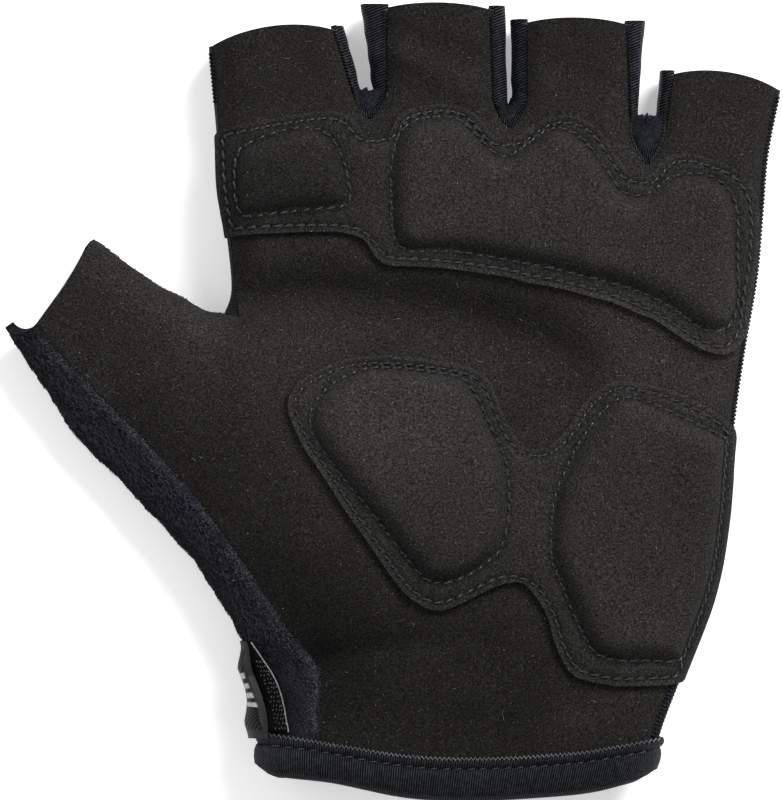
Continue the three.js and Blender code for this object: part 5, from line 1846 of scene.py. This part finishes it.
@dataclass
class Closure:
    """The wrist closure laid round the thumb edge: the hook tape and the moulded pull tab over it."""

    workshop: Workshop
    rows: int = 90
    edge_rounding: float = 0.45
    rounding_reach: float = 0.8
    rim: float = 1.2
    end_rim: float = 0.25
    bars: int = 4
    bar_pitch: float = 2.3
    bar_width: float = 1.35
    bar_reach: float = -0.4
    taper: float = 1.5
    taper_length: float = 4.5
    foot_length: float = 3.0
    first_bar: float = 5.6
    hook_step: float = 0.0075
    hook_shares: tuple[float, ...] = (0.35, 0.52, 0.68, 0.8)
    hook_radius: float = 0.07
    selvedge_radius: float = 0.13

    def layers(self) -> tuple[StrapLayer, StrapLayer]:
        """Gives the hook tape and the pull tab."""
        sizes = self.workshop.plan.sizes
        gap = sizes.seam_gap
        under_tab = gap + sizes.hook_tape + gap
        return (
            StrapLayer(2, 5.3, 25.0, gap, gap + sizes.hook_tape, 0.037),
            StrapLayer(1, 1.7, 45.0, under_tab, under_tab + sizes.tab_rubber, 0.026, 1.1, 1.3),
        )

    def edge(self, layer: StrapLayer) -> tuple[Array, Array]:
        """Gives the levels of a layer's rows and the points of the side edge there."""
        ups = np.linspace(CLOSURE_ROWS[0][0], layer.foot, self.rows)
        return ups, at_level(self.workshop.plan.thumb_side, ups * self.workshop.plan.sizes.palm_length)

    def reaches(self, layer: StrapLayer, ups: Array) -> Array:
        """Gives how far a layer reaches onto the palm side at some levels."""
        table = np.array(CLOSURE_ROWS)
        return np.interp(-ups, -table[:, 0], table[:, layer.column]) * layer.wrap

    def grid(self, layer: StrapLayer) -> tuple[Array, Array, Array]:
        """Lays a layer round the wrist's edge.

        Args:
            layer: The layer.

        Returns:
            Its points and normals in rows, and the lengths along each row from the side edge.
        """
        plan = self.workshop.plan
        ups, edge = self.edge(layer)
        near = 1 - np.cos(np.linspace(0, math.pi / 2, 16))
        bend = 8 * (1 - np.cos(np.linspace(0, math.pi / 2, 12)))[1:]
        under = np.concatenate([bend, np.linspace(9, layer.length, 24)])
        points, normals, along = [], [], []
        for at_edge, reach in zip(edge, self.reaches(layer, ups)):
            top = at_edge + np.column_stack([near[::-1] * reach, near * 0])
            sole = at_edge + np.column_stack([under, under * 0])
            top_at, top_normal = plan.surface(top, Side.PALM)
            sole_at, sole_normal = plan.surface(sole, Side.BACK)
            row = np.vstack([top_at, sole_at])
            points.append(row)
            normals.append(np.vstack([top_normal, sole_normal]))
            run = lengths(row)
            along.append(run - run[len(near) - 1])
        return np.array(points), np.array(normals), np.array(along)

    def strip(self, layer: StrapLayer) -> tuple[Mesh, dict[str, Array]]:
        """Makes a layer's mesh with rounded edges.

        Args:
            layer: The layer.

        Returns:
            The mesh, and the marks of each vertex: its places along and across the layer, and its
            distances from the layer's end and from its sides.
        """
        points, normals, along = self.grid(layer)
        triangles = grid_triangles(*points.shape[:2])[:, ::-1]
        skin = Skin(points.reshape(-1, 3), normals.reshape(-1, 3), triangles)
        _, edge = self.edge(layer)
        across = np.tile(edge[:, 1:], (1, points.shape[1]))
        from_side = np.minimum(edge[0, 1] - across, across - edge[-1, 1])
        from_end = along - along[:, :1]
        near_rim = np.minimum(np.minimum(from_end, from_side), along[:, -1:] - along)
        lowered = self.edge_rounding * (1 - np.minimum(near_rim / self.rounding_reach, 1)) ** 2
        from_top = edge[0, 1] - across
        thin = min(self.taper, layer.high - layer.low - 0.2)
        at_top = 1 - ease_step(from_top, 0, self.taper_length)
        at_foot = 1 - ease_step(across - edge[-1, 1], 0, self.foot_length)
        lowered = np.maximum(lowered, np.maximum(thin * at_top, layer.foot_taper * at_foot))
        sunk = layer.sink * at_top
        low, high = layer.low - sunk, layer.high - (lowered + sunk)
        mesh = outward(thicken(skin, low.reshape(-1), high.reshape(-1)))
        fields = {"along": along, "across": across, "from_side": from_side, "from_end": from_end}
        return mesh, {name: np.tile(field.reshape(-1), 2) for name, field in fields.items()}

    def make(self) -> None:
        """Makes the hook tape, its hooks and the pull tab."""
        hook_layer, tab_layer = self.layers()
        mesh, marks = self.strip(hook_layer)
        hook = self.workshop.add("hook_tape", mesh, HOOK, {"along": marks["along"]})
        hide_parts("hook_strip")
        mesh, marks = self.strip(tab_layer)
        inner = np.minimum(marks["from_end"] - self.end_rim, marks["from_side"] - self.rim)
        ribbed = np.clip(inner / 0.3, 0, 1)
        bars = np.zeros(len(ribbed))
        first = marks["across"].max() - self.first_bar
        reach = np.clip(inner / 0.2, 0, 1) * np.clip((self.bar_reach - marks["along"]) / 0.3, 0, 1)
        for number in range(self.bars):
            away = np.abs(marks["across"] - first + number * self.bar_pitch)
            bars = np.maximum(bars, np.clip((self.bar_width / 2 - away) / 0.15, 0, 1) * reach)
        shown = {"along": marks["along"], "across": marks["across"], "ribbed": ribbed, "bar": bars}
        tab = self.workshop.add("pull_tab", mesh, RUBBER, shown)
        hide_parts("closure_tab")
        self.add_hooks(hook_layer, tab_layer)
        self.add_selvedge(hook_layer)

    def add_hooks(self, hook_layer: StrapLayer, tab_layer: StrapLayer) -> None:
        """Plants rows of small hooks on the part of the hook tape that shows beside the tab."""
        plan = self.workshop.plan
        random = np.random.default_rng(61)
        ups = np.arange(hook_layer.foot + 0.004, CLOSURE_ROWS[0][0] - 0.03, self.hook_step)
        edge = at_level(plan.thumb_side, ups * plan.sizes.palm_length)
        spans = zip(edge, self.reaches(tab_layer, ups), self.reaches(hook_layer, ups))
        feet = []
        for row, (at_edge, near, far) in enumerate(spans):
            for share in self.hook_shares:
                step = near + (far - near) * share + (row % 2) * 0.2
                feet.append(at_edge + [step + random.normal(0, 0.06), random.normal(0, 0.08)])
        at, normal = plan.surface(np.array(feet), Side.PALM)
        start = at + normal * (hook_layer.high - 0.05)
        lean = np.array([0.3, 0.9, 0.0])
        middle, tips = start + normal * 0.5 + lean * 0.1, start + normal * 0.42 + lean * 0.45
        self.workshop.add("hook_ends", strands(start, middle, tips, normal, self.hook_radius), HOOK_ENDS)

    def add_selvedge(self, layer: StrapLayer) -> None:
        """Runs the bright woven edge along the end of the hook tape."""
        plan = self.workshop.plan
        ups, edge = self.edge(layer)
        end = edge + np.column_stack([self.reaches(layer, ups) - 0.12, ups * 0])
        at, normal = plan.surface(end, Side.PALM)
        edging = tube(at + normal * (layer.high - 0.1), self.selvedge_radius, 6)
        self.workshop.add("hook_selvedge", edging, SELVEDGE)


def outward(mesh: Mesh) -> Mesh:
    """Turns a closed mesh so that its faces look out."""
    vertices, faces = mesh
    a, b, c = (vertices[faces[:, k]] for k in range(3))
    volume = (a * np.cross(b, c)).sum()
    return vertices, faces if volume > 0 else faces[:, ::-1]


@dataclass
class SideSeams:
    """The overlocked side seams: small knit loops that show beside the suede."""

    workshop: Workshop
    pitch: float = 0.75
    radius: float = 0.34
    overlap: float = 0.25
    rises: tuple[float, ...] = (-0.1, 0.12, 0.2, 0.12, -0.15)
    girths: tuple[float, ...] = (0.7, 1.0, 1.05, 0.95, 0.6)

    def row(self, line: Array, levels: tuple[float, float]) -> Mesh:
        """Makes the loops of one stretch of a side edge."""
        plan = self.workshop.plan
        low, high = (level * plan.sizes.palm_length for level in levels)
        even = resample(line, self.pitch)
        even = even[(even[:, 1] > low) & (even[:, 1] < high)]
        rises, girths = np.array(self.rises)[:, None], self.radius * np.array(self.girths)
        parts = []
        for point, inward in zip(even, left_normals(even)):
            reach = plan.seam_inset(point[None])[0] + self.overlap
            across = point + inward * np.linspace(0.05, reach, 5)[:, None]
            at, normal = plan.surface(across, Side.PALM)
            parts.append(tube(at + normal * rises, girths, 6))
        return join(parts)

    def make(self) -> None:
        """Makes the loops along both sides of the hand."""
        plan = self.workshop.plan
        right = self.row(plan.right_side, (0.03, 1.05))
        index = self.row(plan.index_side, (1.04, 1.12))
        self.workshop.add("side_loops", join([right, index]), BACK_KNIT)


@dataclass
class StrayFibres:
    """A few pale fibres caught in the nap of the suede."""

    workshop: Workshop
    count: int = 420
    clear: float = 2.5
    radius: float = 0.035

    def make(self) -> None:
        """Scatters short curled fibres over the palm."""
        plan = self.workshop.plan
        random = np.random.default_rng(5)
        outline = Panels(self.workshop).palm_outline()
        spots = random.uniform(outline.min(axis=0), outline.max(axis=0), (self.count * 4, 2))
        spots = spots[inside_outline(spots, outline)]
        spots = spots[plan.rolled.distance(spots) > self.clear][: self.count]
        angle = random.uniform(0, math.tau, len(spots))
        size = random.gamma(2.0, 0.28, len(spots)) + 0.25
        bend = random.normal(0, 0.7, len(spots))
        way = np.column_stack([np.cos(angle), np.sin(angle)]) * size[:, None]
        turned = np.column_stack([np.cos(angle + bend), np.sin(angle + bend)]) * size[:, None]
        heights = random.uniform(0.02, 0.12, len(spots))
        places = [self.over(plan, spots, heights), self.over(plan, spots + way * 0.5, heights + 0.15)]
        places.append(self.over(plan, spots + way * 0.5 + turned * 0.5, heights + 0.05))
        normals = np.tile([0.0, 0.0, 1.0], (len(spots), 1))
        self.workshop.add("stray_fibres", strands(*places, normals, self.radius), LINT)

    @staticmethod
    def over(plan: Plan, spots: Array, above: Array) -> Array:
        """Gives points just over the palm's suede."""
        at, normal = plan.surface(spots, Side.PALM)
        return at + normal * above[:, None]


@dataclass
class Studio:
    """The pale floor, the soft lights and the camera over the glove."""

    shift: Array
    picture: tuple[int, int] = (783, 800)
    pixel: float = 0.19
    palm_pixel: tuple[int, int] = (460, 755)
    lens: float = 300.0
    sensor: float = 36.0
    seen_height: float = 9.0
    table_glow: float = 0.35
    floor_half: float = 3.0

    def floor(self) -> None:
        """Lays the floor."""
        data = bpy.data.meshes.new("floor")
        half = self.floor_half
        corners = [(-half, -half, 0), (half, -half, 0), (half, half, 0), (-half, half, 0)]
        data.from_pydata(corners, [], [(0, 1, 2, 3)])
        floor = bpy.data.objects.new("floor", data)
        nodes = Nodes("pale_floor")
        nodes.set(Base_Color=(0.9, 0.9, 0.9, 1.0), Roughness=0.9, Specular_IOR_Level=0.1)
        nodes.set(Emission_Color=(1.0, 1.0, 1.0, 1.0), Emission_Strength=self.table_glow)
        data.materials.append(nodes.data)
        bpy.context.scene.collection.objects.link(floor)

    def light(self, name: str, place: tuple[float, float, float], size: float, power: float) -> None:
        """Hangs a soft square light that looks at the glove."""
        lamp = bpy.data.lights.new(name, "AREA")
        lamp.size, lamp.energy = size, power
        holder = bpy.data.objects.new(name, lamp)
        holder.location = place
        holder.rotation_euler = (-Vector(place)).to_track_quat("-Z", "Y").to_euler()
        bpy.context.scene.collection.objects.link(holder)

    def camera(self) -> None:
        """Sets the camera straight over the glove, framed as the picture is."""
        width, height = self.picture
        right, up = self.palm_pixel
        x = (width / 2 - right) * self.pixel + self.shift[0]
        y = (up - height / 2) * self.pixel + self.shift[1]
        distance = self.lens / self.sensor * height * self.pixel + self.seen_height
        data = bpy.data.cameras.new("camera")
        data.lens, data.sensor_width, data.clip_end = self.lens, self.sensor, 50
        camera = bpy.data.objects.new("camera", data)
        camera.location = (x * MILLIMETRE, y * MILLIMETRE, distance * MILLIMETRE)
        bpy.context.scene.collection.objects.link(camera)
        bpy.context.scene.camera = camera

    def make(self) -> None:
        """Sets up the whole studio."""
        scene = bpy.context.scene
        world = bpy.data.worlds.new("studio_world")
        world.use_nodes = True
        world.node_tree.nodes["Background"].inputs["Color"].default_value = (1, 1, 1, 1)
        world.node_tree.nodes["Background"].inputs["Strength"].default_value = 0.5
        scene.world = world
        scene.view_settings.view_transform = "Standard"
        self.floor()
        self.light("key_light", (0.62, 0.78, 0.85), 0.6, 24.0)
        self.light("fill_light", (-0.7, 0.2, 0.9), 0.8, 3.0)
        self.camera()


def main() -> None:
    """Builds the glove's pieces in order and sets the studio round them."""
    logging.basicConfig(level=logging.INFO, format="%(name)s: %(message)s")
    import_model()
    plan = Plan(HandSizes())
    workshop = Workshop(plan)
    Studio(workshop.shift).make()
    panels = Panels(workshop)
    panels.palm()
    panels.back()
    ThumbTerry(workshop).make()
    PaddedPatch(
        workshop,
        "knuckle_suede",
        "knuckle_patch",
        KNUCKLE_PATCH,
        (
            ("index_padding", "index_pad", INDEX_PAD, 2.0),
            ("knuckle_padding", "knuckle_pad", KNUCKLE_PAD, 2.9),
        ),
        seed=100,
    ).make()
    PaddedPatch(
        workshop,
        "heel_suede",
        "heel_patch",
        HEEL_PATCH,
        (("thenar_padding", "thenar_pad", THENAR_PAD, 3.0), ("heel_padding", "heel_pad", HEEL_PAD, 2.7)),
        side_inset=0.4,
        seed=200,
    ).make()
    for number in range(len(SLOTS)):
        Gusset(workshop, number).make()
    WristBinding(workshop).make()
    Closure(workshop).make()
    SideSeams(workshop).make()
    StrayFibres(workshop).make()
    LOG.info("pieces made: %d", len(workshop.made))


if __name__ == "__main__":
    main()
